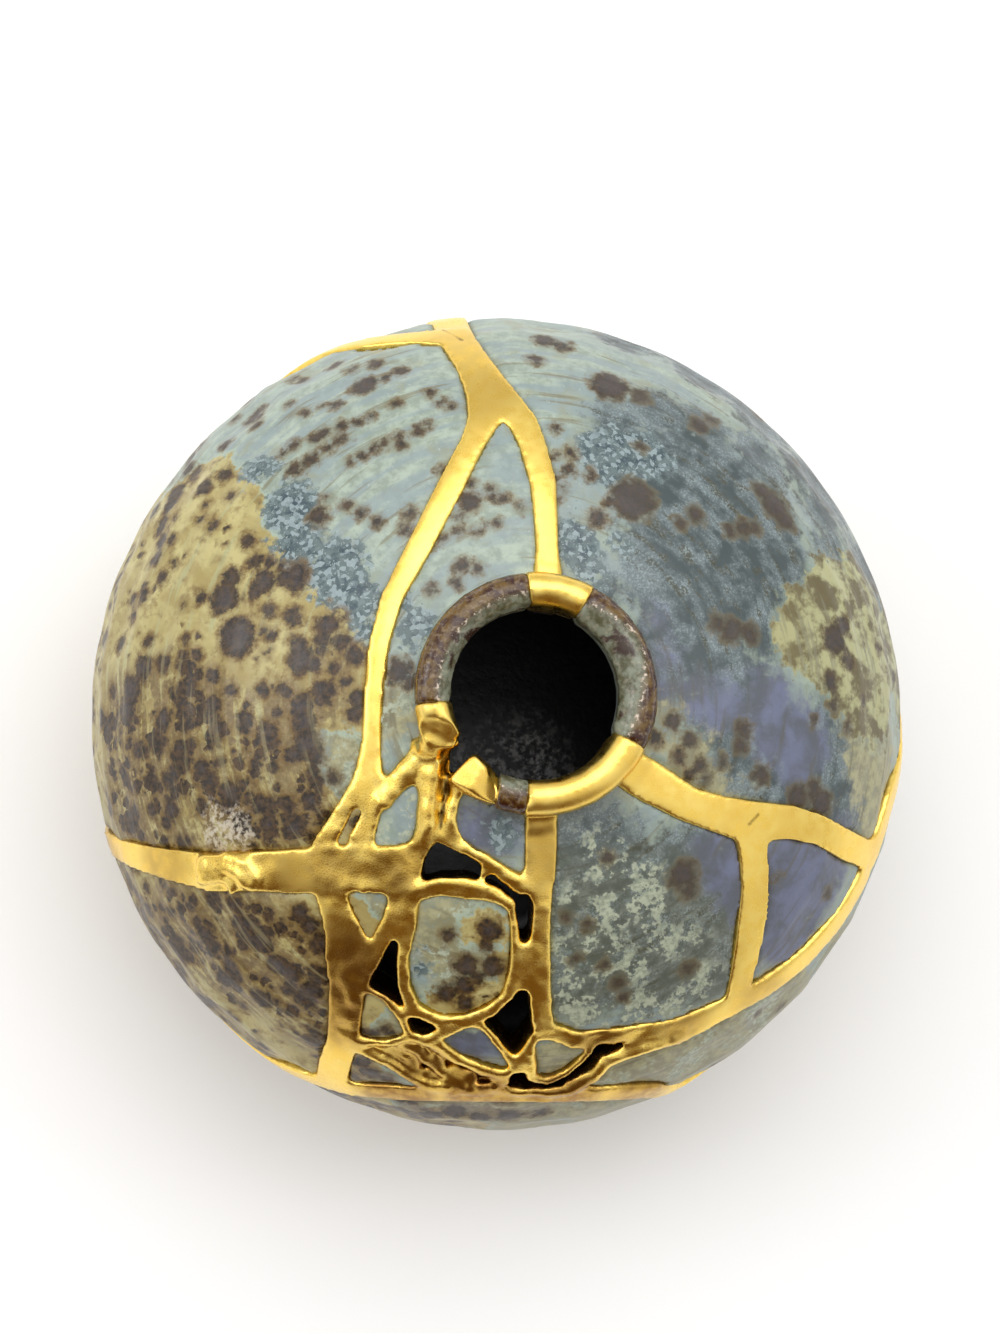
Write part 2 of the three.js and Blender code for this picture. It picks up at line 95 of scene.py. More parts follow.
def seen(x, y):
    """The place on the globe that shows at x, y in the picture."""
    line = ahead * SIGHT_LENGTH
    line = line + sideways * (x - PICTURE_WIDTH / 2) + upward * (PICTURE_HEIGHT / 2 - y)
    scale = Vector((1 / BELLY_RADIUS, 1 / BELLY_RADIUS, 1 / HALF_HEIGHT))
    start = (EYE - CENTRE) * scale
    line = line.normalized()
    step = line * scale
    a = step.dot(step)
    b = start.dot(step)
    inside = b * b - a * (start.dot(start) - 1)
    return EYE + line * ((-b - math.sqrt(max(inside, 0.0))) / a)


def by_bearing(bearing, reach, height):
    """A place by its bearing in degrees, its reach from the axis and its height."""
    angle = math.radians(bearing)
    return (reach * math.cos(angle), reach * math.sin(angle), height)


def around(bearing, height):
    """The place on the globe at a bearing in degrees and a height."""
    level = math.sqrt(1 - ((height - BELLY_HEIGHT) / HALF_HEIGHT) ** 2)
    return Vector(by_bearing(bearing, BELLY_RADIUS * level, height))


def stand_off(points, wall=0.0):
    """How far points stand off the globe, or off a globe inside it, and which way is out."""
    axes = np.array([BELLY_RADIUS - wall, BELLY_RADIUS - wall, HALF_HEIGHT - wall])
    local = points - np.array(CENTRE)
    level = np.linalg.norm(local / axes, axis=1)
    slope = local / axes**2
    steep = np.linalg.norm(slope, axis=1)
    return (level - 1) * level / steep, slope / steep[:, None]


print("the picture's middle on the globe:",
      [round(v, 1) for v in seen(PICTURE_WIDTH / 2, PICTURE_HEIGHT / 2)])

# %% [markdown]
# Turning on the wheel leaves shallow rings and a body that is never quite true. Both
# are a relief along the outward direction. The rings follow the curve from foot to
# neck, so they are worked out from the angle up the globe. Slow noise makes the body a
# little uneven, and makes the rings waver and come and go.

# %% Work out the thrown relief
RING_SPACING = 4.6
RING_DEPTH = 0.1
RING_WAVER = 1.5
RING_FAINT = 0.4
UNEVEN = 0.3
UNEVEN_SIZE = 38.0


def climb(points):
    """Millimetres along the curve from the belly towards the neck."""
    flat = np.hypot(points[:, 0], points[:, 1]) / BELLY_RADIUS
    rise = (points[:, 2] - BELLY_HEIGHT) / HALF_HEIGHT
    return np.arctan2(rise, flat) * (BELLY_RADIUS + HALF_HEIGHT) / 2


def drift(points, size, shift=0.0):
    """Smooth noise at a given size."""
    spots = points / size + shift
    return np.array([noise.noise(p) for p in spots.tolist()])


def thrown(points):
    wobble = drift(points, UNEVEN_SIZE)
    rings = np.sin(climb(points) * math.tau / RING_SPACING + RING_WAVER * wobble)
    return UNEVEN * wobble + RING_DEPTH * rings * (RING_FAINT + wobble**2)


print("relief at the belly:", thrown(np.array([[BELLY_RADIUS, 0, BELLY_HEIGHT]])).round(3))

# %% [markdown]
# A solid is made of flat facets. To give it a soft, dense skin, a copy is welded, then
# a Remesh modifier rebuilds it from small voxels, and two rounds of smoothing take the
# steps out of it. A bevel could round the edges too, but it stumbles over the long thin
# facets of a cut solid. This way the edges of every piece come out slightly worn, as the
# edges of broken and mended stoneware are. The solid itself is never touched.

# %% A dense copy of a solid
WELD = 0.01
SMOOTHING = 0.5
ROUNDS = 2


def smooth(bm, rounds, verts=None):
    for _ in range(rounds):
        bmesh.ops.smooth_vert(bm, verts=verts or bm.verts, factor=SMOOTHING,
                              use_axis_x=True, use_axis_y=True, use_axis_z=True)


def keep_result(piece):
    """Put what the piece's modifiers make in the place of its mesh."""
    view = bpy.context.evaluated_depsgraph_get()
    made = bpy.data.meshes.new_from_object(piece.evaluated_get(view))
    piece.modifiers.clear()
    piece.data = made
    made.name = piece.name


def dense_copy(node, name, voxel, extra=None):
    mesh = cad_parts[node].data.copy()
    mesh.name = name
    mesh.materials.clear()
    piece = bpy.data.objects.new(name, mesh)
    scene.collection.objects.link(piece)
    bm = bmesh.new()
    bm.from_mesh(mesh)
    bmesh.ops.remove_doubles(bm, verts=bm.verts, dist=WELD * MM)
    if extra:
        extra(bm)
    bm.to_mesh(mesh)
    bm.free()
    rebuild = piece.modifiers.new("rebuild", "REMESH")
    rebuild.mode = "VOXEL"
    rebuild.voxel_size = voxel * MM
    keep_result(piece)
    bm = bmesh.new()
    bm.from_mesh(piece.data)
    smooth(bm, ROUNDS)
    bm.to_mesh(piece.data)
    bm.free()
    return piece


print("welded within", WELD, "mm, smoothed in", ROUNDS, "rounds")

# %% [markdown]
# A mesh gives all its points at once as one long row of numbers, and takes them back the
# same way. That is far quicker than visiting them one by one, and numpy can then move
# every point with one sum. A soft step goes from 0 to 1 between two values, and is used
# wherever one treatment has to fade into another.

# %% Read and write a mesh's points
def read_vectors(mesh, kind):
    row = np.empty(len(mesh.vertices) * 3)
    mesh.vertices.foreach_get(kind, row)
    return row.reshape(-1, 3)


def get_points(mesh):
    return read_vectors(mesh, "co") / MM


def set_points(mesh, points):
    mesh.vertices.foreach_set("co", (points * MM).ravel())
    mesh.update()


def smooth_step(low, high, values):
    t = np.clip((values - low) / (high - low), 0.0, 1.0)
    return t * t * (3 - 2 * t)


print("a soft step, a quarter, half and three quarters of the way:",
      smooth_step(0.0, 1.0, np.array([0.25, 0.5, 0.75])).round(2))

# %% [markdown]
# The dense copy is laid back onto the true form. The outer wall goes onto the globe with
# the thrown relief, the inner wall onto a smaller globe, and the rolled lip onto its own
# oval section. Only points that are already close to a wall move, so worn edges and
# broken faces stay. The broken sides are first pushed out by about a voxel, so that they
# tuck under the gold and leave no dark gap.

# %% Lay a ceramic piece onto the thrown form
WALL = 5.5
LIP_RADIUS = 19.3
LIP_HEIGHT = 107.7
LIP_HALF_WIDTH, LIP_HALF_HEIGHT = 3.2, 3.3
LIP_STARTS = (104.4, 105.6)
LIP_UNEVEN = 0.05
LIP_UNEVEN_SIZE = 3.0
FOOT_ENDS = (3.0, 6.0)
FLOOR_ENDS = (11.0, 14.0)
SIDES_FADE = (-4.5, -3.0)
CLOSE_OUTSIDE = (0.3, 0.95)
CLOSE = (0.3, 0.9)
TINY = 1e-6


def lip_section(points, skin=0.0):
    """How far points stand off the rolled lip's oval section, and which way is out."""
    reach = np.hypot(points[:, 0], points[:, 1])
    across = (reach - LIP_RADIUS) / (LIP_HALF_WIDTH + skin)
    rise = (points[:, 2] - LIP_HEIGHT) / (LIP_HALF_HEIGHT + skin)
    level = np.hypot(across, rise)
    flat = points[:, :2] / np.maximum(reach, TINY)[:, None]
    ratio = (across / np.maximum(level, TINY))[:, None]
    out = np.column_stack([flat * ratio, rise / np.maximum(level, TINY)])
    return (level - 1) * (LIP_HALF_WIDTH + skin), out


def tuck_sides(points, normal, tuck):
    off, out = stand_off(points)
    flat_side = normal - np.einsum("ij,ij->i", normal, out)[:, None] * out
    return points + flat_side * (tuck * smooth_step(*SIDES_FADE, off))[:, None]


def lay_on_form(piece, tuck):
    points = tuck_sides(get_points(piece.data), read_vectors(piece.data, "normal"), tuck)
    height = points[:, 2]
    off, out = stand_off(points)
    near = (1 - smooth_step(*CLOSE_OUTSIDE, np.abs(off))) * smooth_step(*FOOT_ENDS, height)
    laid = points + out * (near * (thrown(points) - off))[:, None]
    deep, inward = stand_off(points, WALL)
    near = (1 - smooth_step(*CLOSE, np.abs(deep))) * smooth_step(*FLOOR_ENDS, height)
    laid -= inward * (near * deep)[:, None]
    roll, away = lip_section(points)
    near = (1 - smooth_step(*CLOSE, np.abs(roll))) * smooth_step(*LIP_STARTS, height)
    laid -= away * (near * (roll - LIP_UNEVEN * drift(points, LIP_UNEVEN_SIZE)))[:, None]
    laid[:, 2] = np.maximum(laid[:, 2], 0.0)
    set_points(piece.data, laid)


print("lip across in mm:", 2 * (LIP_RADIUS + LIP_HALF_WIDTH))

# %% [markdown]
# Now every ceramic piece gets its dense copy. The number is the voxel's size in
# millimetres: small for the chips in the lattice, which are looked at closely, and
# larger for the big plain pieces. Each copy rides on the vase's one body and takes the
# place of its solid.

# %% Make the ceramic pieces
TUCK = 1.1
CERAMIC = {
    "base_bowl": ("glaze_left", 1.15),
    "left_shoulder": ("glaze_left", 0.8),
    "left_belly": ("glaze_left", 0.8),
    "neck_piece": ("glaze_top", 0.6),
    "back_piece": ("glaze_top", 0.8),
    "right_shoulder": ("glaze_right", 0.8),
    "front_piece": ("glaze_right", 0.6),
    "violet_piece": ("glaze_right", 0.7),
    "right_belly": ("glaze_right", 0.8),
    "lip_chip": ("glaze_chips", 0.45),
    "sliver_chip": ("glaze_chips", 0.35),
    "teardrop_chip": ("glaze_chips", 0.4),
    "triangle_chip": ("glaze_chips", 0.4),
    "island_chip": ("glaze_chips", 0.45),
    "small_left_chip": ("glaze_chips", 0.4),
    "small_middle_chip": ("glaze_chips", 0.4),
    "front_sliver_chip": ("glaze_chips", 0.4),
    "small_right_chip": ("glaze_chips", 0.4),
}
ceramic = {}
for node, (slot, voxel) in CERAMIC.items():
    piece = dense_copy(node, node + "_glazed", voxel)
    lay_on_form(piece, TUCK * voxel)
    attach(piece, "root")
    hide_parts(node)
    ceramic[node] = piece
    print(node, "points:", len(piece.data.vertices))

# %% [markdown]
# The glaze changes from place to place: olive and brown with iron spots on the left,
# pale blue at the top, slate and violet on the right, lichen green at the front, sage
# low down, small fields of crystal, and a few small fields of painted glints, pale grains
# that stand for sparkling highlights. Each of these is a patchwork of round
# patches on the globe. A patch is given by where it shows in the picture, or by bearing
# and height where it is hidden, with a radius. For every point, the distance inside
# the nearest patch edge is what the material later turns into a ragged border. In the
# open places the pale ground shows through the olive, and a painted pool of light, with
# grit in it, lies on the floor inside the vase.

# %% Place the glaze patches
FAR = 12.0


def shown(*patches):
    """Patches by x and y in the picture and a radius in millimetres."""
    return [(seen(x, y), radius) for x, y, radius in patches]


def hidden(*patches):
    """Patches by bearing in degrees, height and radius in millimetres."""
    return [(around(bearing, height), radius) for bearing, height, radius in patches]


def depth_inside(points, patches):
    best = np.full(len(points), -FAR)
    for place, radius in patches:
        best = np.maximum(best, radius - np.linalg.norm(points - np.array(place), axis=1))
    return np.clip(best, -FAR, FAR)


OLIVE = shown(
    (180, 540, 19), (150, 620, 26), (215, 640, 24), (290, 690, 17), (200, 760, 28), (318, 725, 7),
    (300, 640, 11), (240, 560, 6), (190, 900, 26), (280, 960, 22), (320, 1050, 12), (310, 810, 12),
    (490, 930, 5), (504, 962, 4), (476, 1000, 6), (450, 1003, 4), (845, 610, 11), (850, 660, 12),
    (873, 690, 11), (880, 640, 10), (800, 632, 7.5), (822, 640, 8), (862, 585, 7),
) + hidden(
    (160, 42, 22), (190, 40, 30), (215, 34, 34), (240, 40, 30), (175, 22, 26), (255, 24, 26),
    (262, 58, 9), (8, 52, 18), (18, 36, 15),
)
BROWN = shown(
    (175, 740, 18), (250, 780, 17), (305, 790, 9), (300, 720, 7), (135, 800, 14), (318, 700, 5),
    (330, 815, 4), (220, 830, 12), (120, 720, 10), (230, 945, 16), (300, 960, 12), (345, 672, 5),
    (310, 1030, 8), (180, 930, 12), (420, 1113, 5), (490, 1116, 5), (330, 1094, 7), (362, 1070, 6),
) + hidden(
    (205, 45, 18), (225, 38, 20), (185, 30, 14), (248, 45, 16), (262, 48, 8), (280, 40, 9),
)
SLATE = shown(
    (690, 480, 15), (740, 510, 15), (700, 570, 17), (660, 540, 9), (765, 570, 13), (700, 630, 13),
    (645, 585, 6), (660, 640, 7), (620, 425, 6), (660, 410, 7), (710, 430, 7), (760, 460, 7),
    (585, 560, 3.5), (612, 590, 3.5), (655, 680, 5), (600, 900, 15), (640, 960, 15), (690, 900, 15),
    (700, 960, 12), (580, 990, 9), (590, 840, 9), (760, 620, 9), (800, 590, 8), (832, 556, 7),
    (740, 685, 9), (790, 795, 9), (840, 765, 10), (850, 805, 8), (720, 725, 8), (690, 660, 6),
    (835, 720, 7), (730, 775, 8), (800, 470, 6), (820, 510, 7),
) + hidden(
    (20, 70, 12), (60, 62, 11), (50, 66, 9), (36, 68, 10), (72, 64, 7),
)
VIOLET = shown(
    (770, 700, 6), (792, 730, 7), (800, 765, 6), (810, 745, 5), (750, 720, 4), (728, 705, 5),
    (765, 742, 5), (690, 690, 3), (666, 655, 3), (656, 622, 2.5), (700, 700, 3), (664, 690, 3),
    (800, 880, 13), (790, 930, 9), (830, 860, 8), (710, 850, 4), (725, 870, 5), (490, 830, 7),
    (470, 1046, 6), (735, 900, 4),
)
LICHEN = shown(
    (600, 850, 5), (605, 880, 6), (620, 905, 6), (580, 915, 5), (600, 950, 6), (575, 1000, 8),
    (640, 1010, 5), (690, 945, 3), (660, 950, 4), (560, 960, 5), (630, 970, 4), (460, 930, 7),
    (440, 960, 6), (680, 1060, 8), (760, 1020, 8), (600, 1090, 7), (400, 820, 5), (490, 905, 4),
    (385, 700, 6), (372, 912, 6), (350, 760, 5), (410, 640, 4), (655, 905, 3), (670, 1000, 4),
    (610, 1010, 4), (700, 975, 3), (560, 1020, 4), (640, 930, 4), (690, 1000, 4), (570, 990, 6),
    (650, 875, 3), (620, 1020, 5), (740, 985, 3),
)
CRYSTAL = shown(
    (285, 510, 6.5), (300, 545, 7), (335, 560, 6.5), (360, 600, 5), (345, 590, 5.5), (365, 630, 4),
    (258, 470, 4), (400, 600, 3.5), (415, 625, 3.5), (575, 540, 5), (600, 460, 6), (640, 450, 6),
    (500, 835, 4), (420, 968, 2), (590, 575, 3), (620, 540, 3),
)
# Painted highlight: pale grains that stand for small sparkling glints on the brown.
PAINTED_GLINTS = shown((222, 832, 4.5), (212, 812, 2.5), (240, 840, 3.0))
SAGE = shown(
    (385, 700, 7), (348, 752, 6), (340, 780, 4), (372, 912, 4), (351, 828, 5), (382, 1022, 6),
    (450, 940, 9), (470, 990, 8), (700, 1060, 15), (640, 1075, 11), (780, 1010, 11), (830, 960, 9),
    (560, 1058, 6), (875, 760, 10), (880, 810, 9), (868, 715, 8), (440, 1112, 10), (520, 1112, 11),
    (600, 1108, 10), (360, 1100, 8), (690, 760, 5), (660, 740, 4), (665, 720, 3), (715, 790, 4),
) + hidden(
    (270, 46, 16), (290, 48, 16), (310, 46, 16), (330, 46, 16), (350, 48, 14), (265, 24, 20),
    (300, 24, 20), (335, 24, 18), (92, 40, 14), (60, 30, 16),
)
PATCHES = {"olive": OLIVE, "brown": BROWN, "slate": SLATE, "violet": VIOLET, "lichen": LICHEN,
           "crystal": CRYSTAL, "sage": SAGE, "painted_glints": PAINTED_GLINTS}
OPEN = shown((343, 752, 5.0), (350, 776, 4.5), (328, 742, 3.0))
# Painted light: a pool of light on the floor inside, where light falls through the mouth, with some grit in
# it.
GRIT_AND_LIGHT_POOL = [(Vector((8, -7, 9)), 11), (Vector((-3, -10, 9)), 9), (Vector((14, -13, 9)), 8)]
print({name: len(patches) for name, patches in PATCHES.items()})

# %% [markdown]
# Iron in the clay burns through the glaze as dark brown spots. The large ones have
# their own places in the picture. On the olive side they are so many that they are
# scattered, with a fixed seed, and at the top they sit in rows along the throwing rings.
# A row is given by its two ends, its number of spots and their size.

# %% Place the iron spots
LARGE_SPOTS = [
    (365, 385, 2.8), (375, 364, 1.6), (352, 370, 1.2), (237, 637, 4.0), (224, 598, 3.3),
    (231, 578, 2.2), (264, 582, 2.4), (255, 592, 1.5), (297, 573, 2.2), (285, 577, 1.8),
    (327, 625, 2.2), (322, 640, 1.6), (247, 541, 1.7), (175, 492, 2.2), (170, 505, 2.0),
    (193, 472, 1.8), (161, 540, 2.0), (157, 556, 1.8), (163, 577, 1.6), (200, 490, 1.2),
    (212, 526, 1.5), (131, 616, 1.2), (119, 643, 1.7), (318, 517, 1.8), (634, 499, 4.6),
    (613, 503, 1.5), (610, 386, 4.0), (640, 396, 2.2), (597, 518, 1.8), (775, 505, 3.4),
    (762, 490, 2.2), (785, 520, 2.4), (744, 528, 2.0), (730, 530, 1.6), (755, 527, 1.4),
    (696, 514, 2.0), (680, 522, 1.5), (732, 630, 2.6), (718, 625, 2.0), (750, 634, 2.2),
    (835, 641, 3.2), (842, 628, 2.4), (830, 683, 2.2), (846, 660, 2.0), (640, 445, 1.2),
    (569, 471, 1.1), (590, 475, 1.0), (572, 452, 1.0), (563, 489, 0.9), (470, 502, 2.0),
    (494, 495, 1.0), (460, 516, 1.2), (406, 529, 1.4), (410, 512, 1.2), (462, 566, 1.3),
    (477, 568, 1.2), (432, 590, 1.3), (457, 583, 1.0), (400, 672, 2.4), (410, 680, 1.5),
    (744, 731, 2.0), (741, 746, 1.7), (760, 776, 2.0), (798, 797, 2.6), (822, 803, 3.0),
    (815, 790, 2.2), (673, 722, 1.8), (690, 740, 1.7), (700, 765, 1.5), (835, 705, 1.5),
    (848, 728, 1.4), (814, 722, 1.1), (683, 875, 3.0), (690, 890, 2.0), (607, 857, 1.4),
    (618, 982, 1.7), (623, 997, 1.4), (566, 917, 1.2), (588, 924, 1.3), (575, 960, 1.2),
    (688, 970, 1.6), (604, 965, 1.2), (778, 878, 0.9), (828, 893, 1.2), (465, 965, 2.3),
    (492, 968, 2.3), (462, 985, 2.2), (445, 993, 1.9), (465, 1003, 1.8), (490, 930, 2.3),
    (487, 945, 1.6), (448, 935, 1.6), (478, 978, 1.6), (375, 1033, 1.4), (390, 1034, 1.2),
    (385, 1030, 1.0), (545, 340, 2.4), (562, 345, 2.0), (536, 360, 1.6), (700, 425, 2.4),
    (712, 418, 1.6), (400, 445, 1.2), (131, 690, 3.0), (127, 710, 2.6), (143, 668, 2.6),
    (163, 720, 2.2), (213, 675, 1.6), (213, 704, 1.9), (219, 729, 2.1), (267, 733, 2.1),
    (230, 691, 1.4), (246, 727, 1.3), (302, 660, 2.9), (298, 647, 1.9), (313, 664, 1.9),
    (302, 706, 2.4), (305, 722, 2.4), (307, 743, 2.8), (315, 756, 2.0), (294, 754, 1.8),
    (355, 655, 1.8), (357, 700, 2.0), (354, 714, 1.6), (340, 640, 1.8), (335, 668, 1.5),
    (330, 690, 1.6), (345, 682, 1.3), (144, 752, 1.4), (167, 781, 1.9), (152, 810, 1.6),
    (202, 768, 1.9), (209, 781, 2.0), (230, 793, 2.6), (227, 806, 1.7), (244, 822, 1.9),
    (259, 804, 1.9), (269, 822, 2.2), (294, 827, 2.4), (311, 800, 2.2), (313, 775, 1.5),
    (282, 802, 1.3), (242, 785, 1.3), (257, 764, 1.3), (273, 768, 1.1), (171, 810, 2.0),
    (202, 806, 1.6), (175, 791, 1.5), (325, 820, 2.0), (332, 777, 1.3), (190, 745, 1.5),
    (182, 690, 1.5), (196, 655, 1.2), (262, 690, 1.3), (283, 690, 1.5), (276, 712, 1.3),
    (322, 690, 1.6), (362, 1062, 1.8), (372, 1074, 2.0), (388, 1080, 1.6), (355, 1078, 1.5),
    (400, 1112, 2.5), (430, 1116, 2.2), (455, 1113, 2.6), (480, 1118, 2.2), (510, 1116, 2.4),
    (540, 1114, 2.0), (380, 1108, 2.2), (415, 1118, 2.0), (250, 925, 2.4), (262, 940, 2.6),
    (278, 965, 2.6), (290, 972, 2.2), (312, 990, 2.4), (302, 998, 2.0), (655, 738, 1.3),
    (705, 780, 1.3), (690, 776, 1.2), (722, 762, 1.2), (680, 758, 1.4), (310, 925, 2.0),
    (300, 912, 1.6), (235, 905, 1.8), (265, 1000, 1.8), (230, 965, 1.8), (205, 935, 2.0),
]
ROWS = [
    ((283, 452), (402, 402), 9, 1.1), ((296, 472), (345, 436), 6, 1.2),
    ((352, 460), (428, 424), 7, 0.9), ((300, 418), (400, 372), 6, 1.1),
    ((440, 470), (520, 505), 6, 0.8), ((425, 545), (500, 520), 6, 0.8),
    ((430, 395), (452, 410), 3, 1.0), ((555, 430), (560, 500), 4, 0.8),
    ((330, 500), (380, 520), 4, 0.9),
]
ROW_WAVER = 0.3
ROW_JITTER = 3
ROW_SIZES = (0.7, 1.3)
SCATTER_SEED = 11


def row_spots():
    draw = random.Random(SCATTER_SEED + 1)
    spots = []
    for (x0, y0), (x1, y1), count, size in ROWS:
        for i in range(count):
            t = (i + draw.uniform(-ROW_WAVER, ROW_WAVER)) / max(count - 1, 1)
            x = x0 + (x1 - x0) * t + draw.uniform(-ROW_JITTER, ROW_JITTER)
            y = y0 + (y1 - y0) * t + draw.uniform(-ROW_JITTER, ROW_JITTER)
            spots.append((seen(x, y), size * draw.uniform(*ROW_SIZES)))
    return spots


SPOTS = shown(*LARGE_SPOTS) + row_spots()
print("spots with a place of their own:", len(SPOTS))

# %% [markdown]
# The scattered spots are drawn all round the left side, most of them small, with fewer
# on the other side. Those that fall on the pale top are dropped again, because it has
# only the spots placed above.

# %% Scatter the small spots
LEFT_SPOTS = 430
LEFT_BEARINGS, LEFT_HEIGHTS = (118, 285), (6, 104)
SMALL_SHARE = 0.7
SMALL_SIZES, MIDDLE_SIZES = (0.75, 1.35), (1.3, 2.1)
OTHER_SPOTS = 90
OTHER_BEARINGS, OTHER_HEIGHTS = (-75, 118), (8, 96)
OTHER_SIZES = (0.7, 1.5)
OUTER_BELLY = 95


def scatter_spots():
    draw = random.Random(SCATTER_SEED)
    spots = []
    for _ in range(LEFT_SPOTS):
        place = around(draw.uniform(*LEFT_BEARINGS), draw.uniform(*LEFT_HEIGHTS))
        sizes = SMALL_SIZES if draw.random() < SMALL_SHARE else MIDDLE_SIZES
        spots.append((place, draw.uniform(*sizes)))
    for _ in range(OTHER_SPOTS):
        place = around(draw.uniform(*OTHER_BEARINGS), draw.uniform(*OTHER_HEIGHTS))
        spots.append((place, draw.uniform(*OTHER_SIZES)))
    return spots


for place, size in scatter_spots():
    on_left = depth_inside(np.array([place]), OLIVE + BROWN)[0] > 0
    if on_left or abs(place.x) + abs(place.y) > OUTER_BELLY:
        SPOTS.append((place, size))
print("iron spots:", len(SPOTS))

# %% [markdown]
# All of this is stored on the points of each piece as named attributes, a map that the
# material can read. A picture could be painted and wrapped round the vase instead, but
# a map on the points has no joins and needs no unwrapping. Noise makes the patches
# wander off their round shape, and more so low down, where the real ones are not seen.

# %% Store the glaze map on each piece
PATCH_WANDER, PATCH_WANDER_SIZE = 3.0, 9.0
LOW_WANDER, LOW_WANDER_SIZE, LOW_SHIFT = 16.0, 15.0, 4.0
LOW_SIDE = (18.0, 40.0)
NOISE_STEP = 10.0
OPEN_WANDER = 0.3
SPOT_MARGIN = 14
NO_SPOT = -3.0


def store(mesh, name, values):
    layer = mesh.attributes.new(name, "FLOAT", "POINT")
    layer.data.foreach_set("value", np.asarray(values, dtype=np.float32))


def map_patches(mesh, points):
    below = 1 - smooth_step(*LOW_SIDE, points[:, 2])
    for i, (name, patches) in enumerate(PATCHES.items()):
        wander_by = PATCH_WANDER * drift(points, PATCH_WANDER_SIZE, NOISE_STEP * i)
        wander_by += LOW_WANDER * below * drift(points, LOW_WANDER_SIZE, NOISE_STEP * i + LOW_SHIFT)
        depth = depth_inside(points, patches) + wander_by
        if name in ("olive", "brown"):
            depth = np.minimum(depth, -depth_inside(points, OPEN) + OPEN_WANDER * wander_by)
        store(mesh, name, depth)


def map_spots(mesh, points):
    low, high = points.min(axis=0) - SPOT_MARGIN, points.max(axis=0) + SPOT_MARGIN
    spot = np.full(len(points), NO_SPOT)
    for place, radius in SPOTS:
        if all(low[i] < place[i] < high[i] for i in range(3)):
            spot = np.maximum(spot, radius - np.linalg.norm(points - np.array(place), axis=1))
    store(mesh, "spot", spot)


for piece in ceramic.values():
    map_patches(piece.data, get_points(piece.data))
    map_spots(piece.data, get_points(piece.data))
print("patches and spots stored on", len(ceramic), "pieces")

# %% [markdown]
# The lip and the parts without glaze are mapped in the same way, from height, reach and
# bearing. On the lip's right side the pale inner glaze comes further over the roll. The
# foot and the recess under it are bare clay, the inside and the broken faces are painted
# dark as shade, and a painted pool of light with some grit lies on the inner floor.

# %% Store where the lip and the bare clay are
LIP_GLAZE_STARTS = (104.2, 105.4)
PALE_LIP_BACK = 0.7
PALE_LIP_BEARING, PALE_LIP_SPAN, PALE_LIP_REACH = 27.0, 24.0, 2.8
PALE_LIP_INNER, PALE_LIP_OUTER = 0.9, 0.5
GLAZE_ENDS = (-1.5, -0.8)
FOOT_CLAY = (1.5, 3.0)
FOOT_REACH, RECESS_REACH = 43, 36
UNDERSIDE = 7.0
GRIT_AND_LIGHT_POOL_FADES = (-5.0, 6.0)
INNER_WALL = -3


def map_bare_parts(mesh, points):
    off, _ = stand_off(points)
    height = points[:, 2]
    reach = np.hypot(points[:, 0], points[:, 1])
    bearing = np.degrees(np.arctan2(points[:, 1], points[:, 0]))
    on_lip = smooth_step(*LIP_GLAZE_STARTS, height)
    right = np.exp(-(((bearing - PALE_LIP_BEARING) / PALE_LIP_SPAN) ** 2))
    edge = LIP_RADIUS - PALE_LIP_BACK + PALE_LIP_REACH * right
    mouth_side = 1 - smooth_step(edge - PALE_LIP_INNER, edge + PALE_LIP_OUTER, reach)
    covered = np.maximum(smooth_step(*GLAZE_ENDS, off), on_lip)
    foot = (1 - smooth_step(*FOOT_CLAY, height)) * (reach < FOOT_REACH)
    foot = np.maximum(foot, (reach < RECESS_REACH) * (height < UNDERSIDE))
    # Painted light: the pool of light with grit on the inner floor.
    grit_and_light_pool = smooth_step(*GRIT_AND_LIGHT_POOL_FADES, depth_inside(points, GRIT_AND_LIGHT_POOL))
    store(mesh, "climb", climb(points))
    store(mesh, "lip", on_lip)
    store(mesh, "mouth_side", mouth_side)
    store(mesh, "skin", covered * (1 - foot))
    store(mesh, "foot", foot)
    store(mesh, "grit_and_light_pool", grit_and_light_pool * (off < INNER_WALL) * (height > UNDERSIDE))


for piece in ceramic.values():
    map_bare_parts(piece.data, get_points(piece.data))
    piece.data.shade_smooth()
print("maps on each piece:", [layer.name for layer in piece.data.attributes if layer.name[0] != "."])

# %% [markdown]
# Materials are built from nodes. One helper adds a node and fills or links its sockets,
# so that the finishes below read as recipes. Colours are given as they look on a screen
# and turned into light values once. The glaze's own sheen adds a little white to what
# lies under it, so that much is taken off its colours beforehand.

# %% Helpers for the finishes
VEIL = 0.026
DARKEST = 0.004


def light(r, g, b):
    def channel(v):
        v /= 255
        return v / 12.92 if v <= 0.04045 else ((v + 0.055) / 1.055) ** 2.4
    return (channel(r), channel(g), channel(b), 1.0)


def under_gloss(r, g, b):
    return tuple(max(v - VEIL, DARKEST) for v in light(r, g, b)[:3]) + (1.0,)


def add(tree, kind, inputs=None, **settings):
    node = tree.nodes.new(kind)
    for key, value in settings.items():
        setattr(node, key, value)
    for key, value in (inputs or {}).items():
        if isinstance(value, bpy.types.NodeSocket):
            tree.links.new(value, node.inputs[key])
        else:
            node.inputs[key].default_value = value
    return node


def new_finish(name):
    finish = bpy.data.materials.new(name)
    finish.use_nodes = True
    tree = finish.node_tree
    shader = tree.nodes["Principled BSDF"]
    where = add(tree, "ShaderNodeTexCoord").outputs["Object"]
    return finish, tree, shader, where


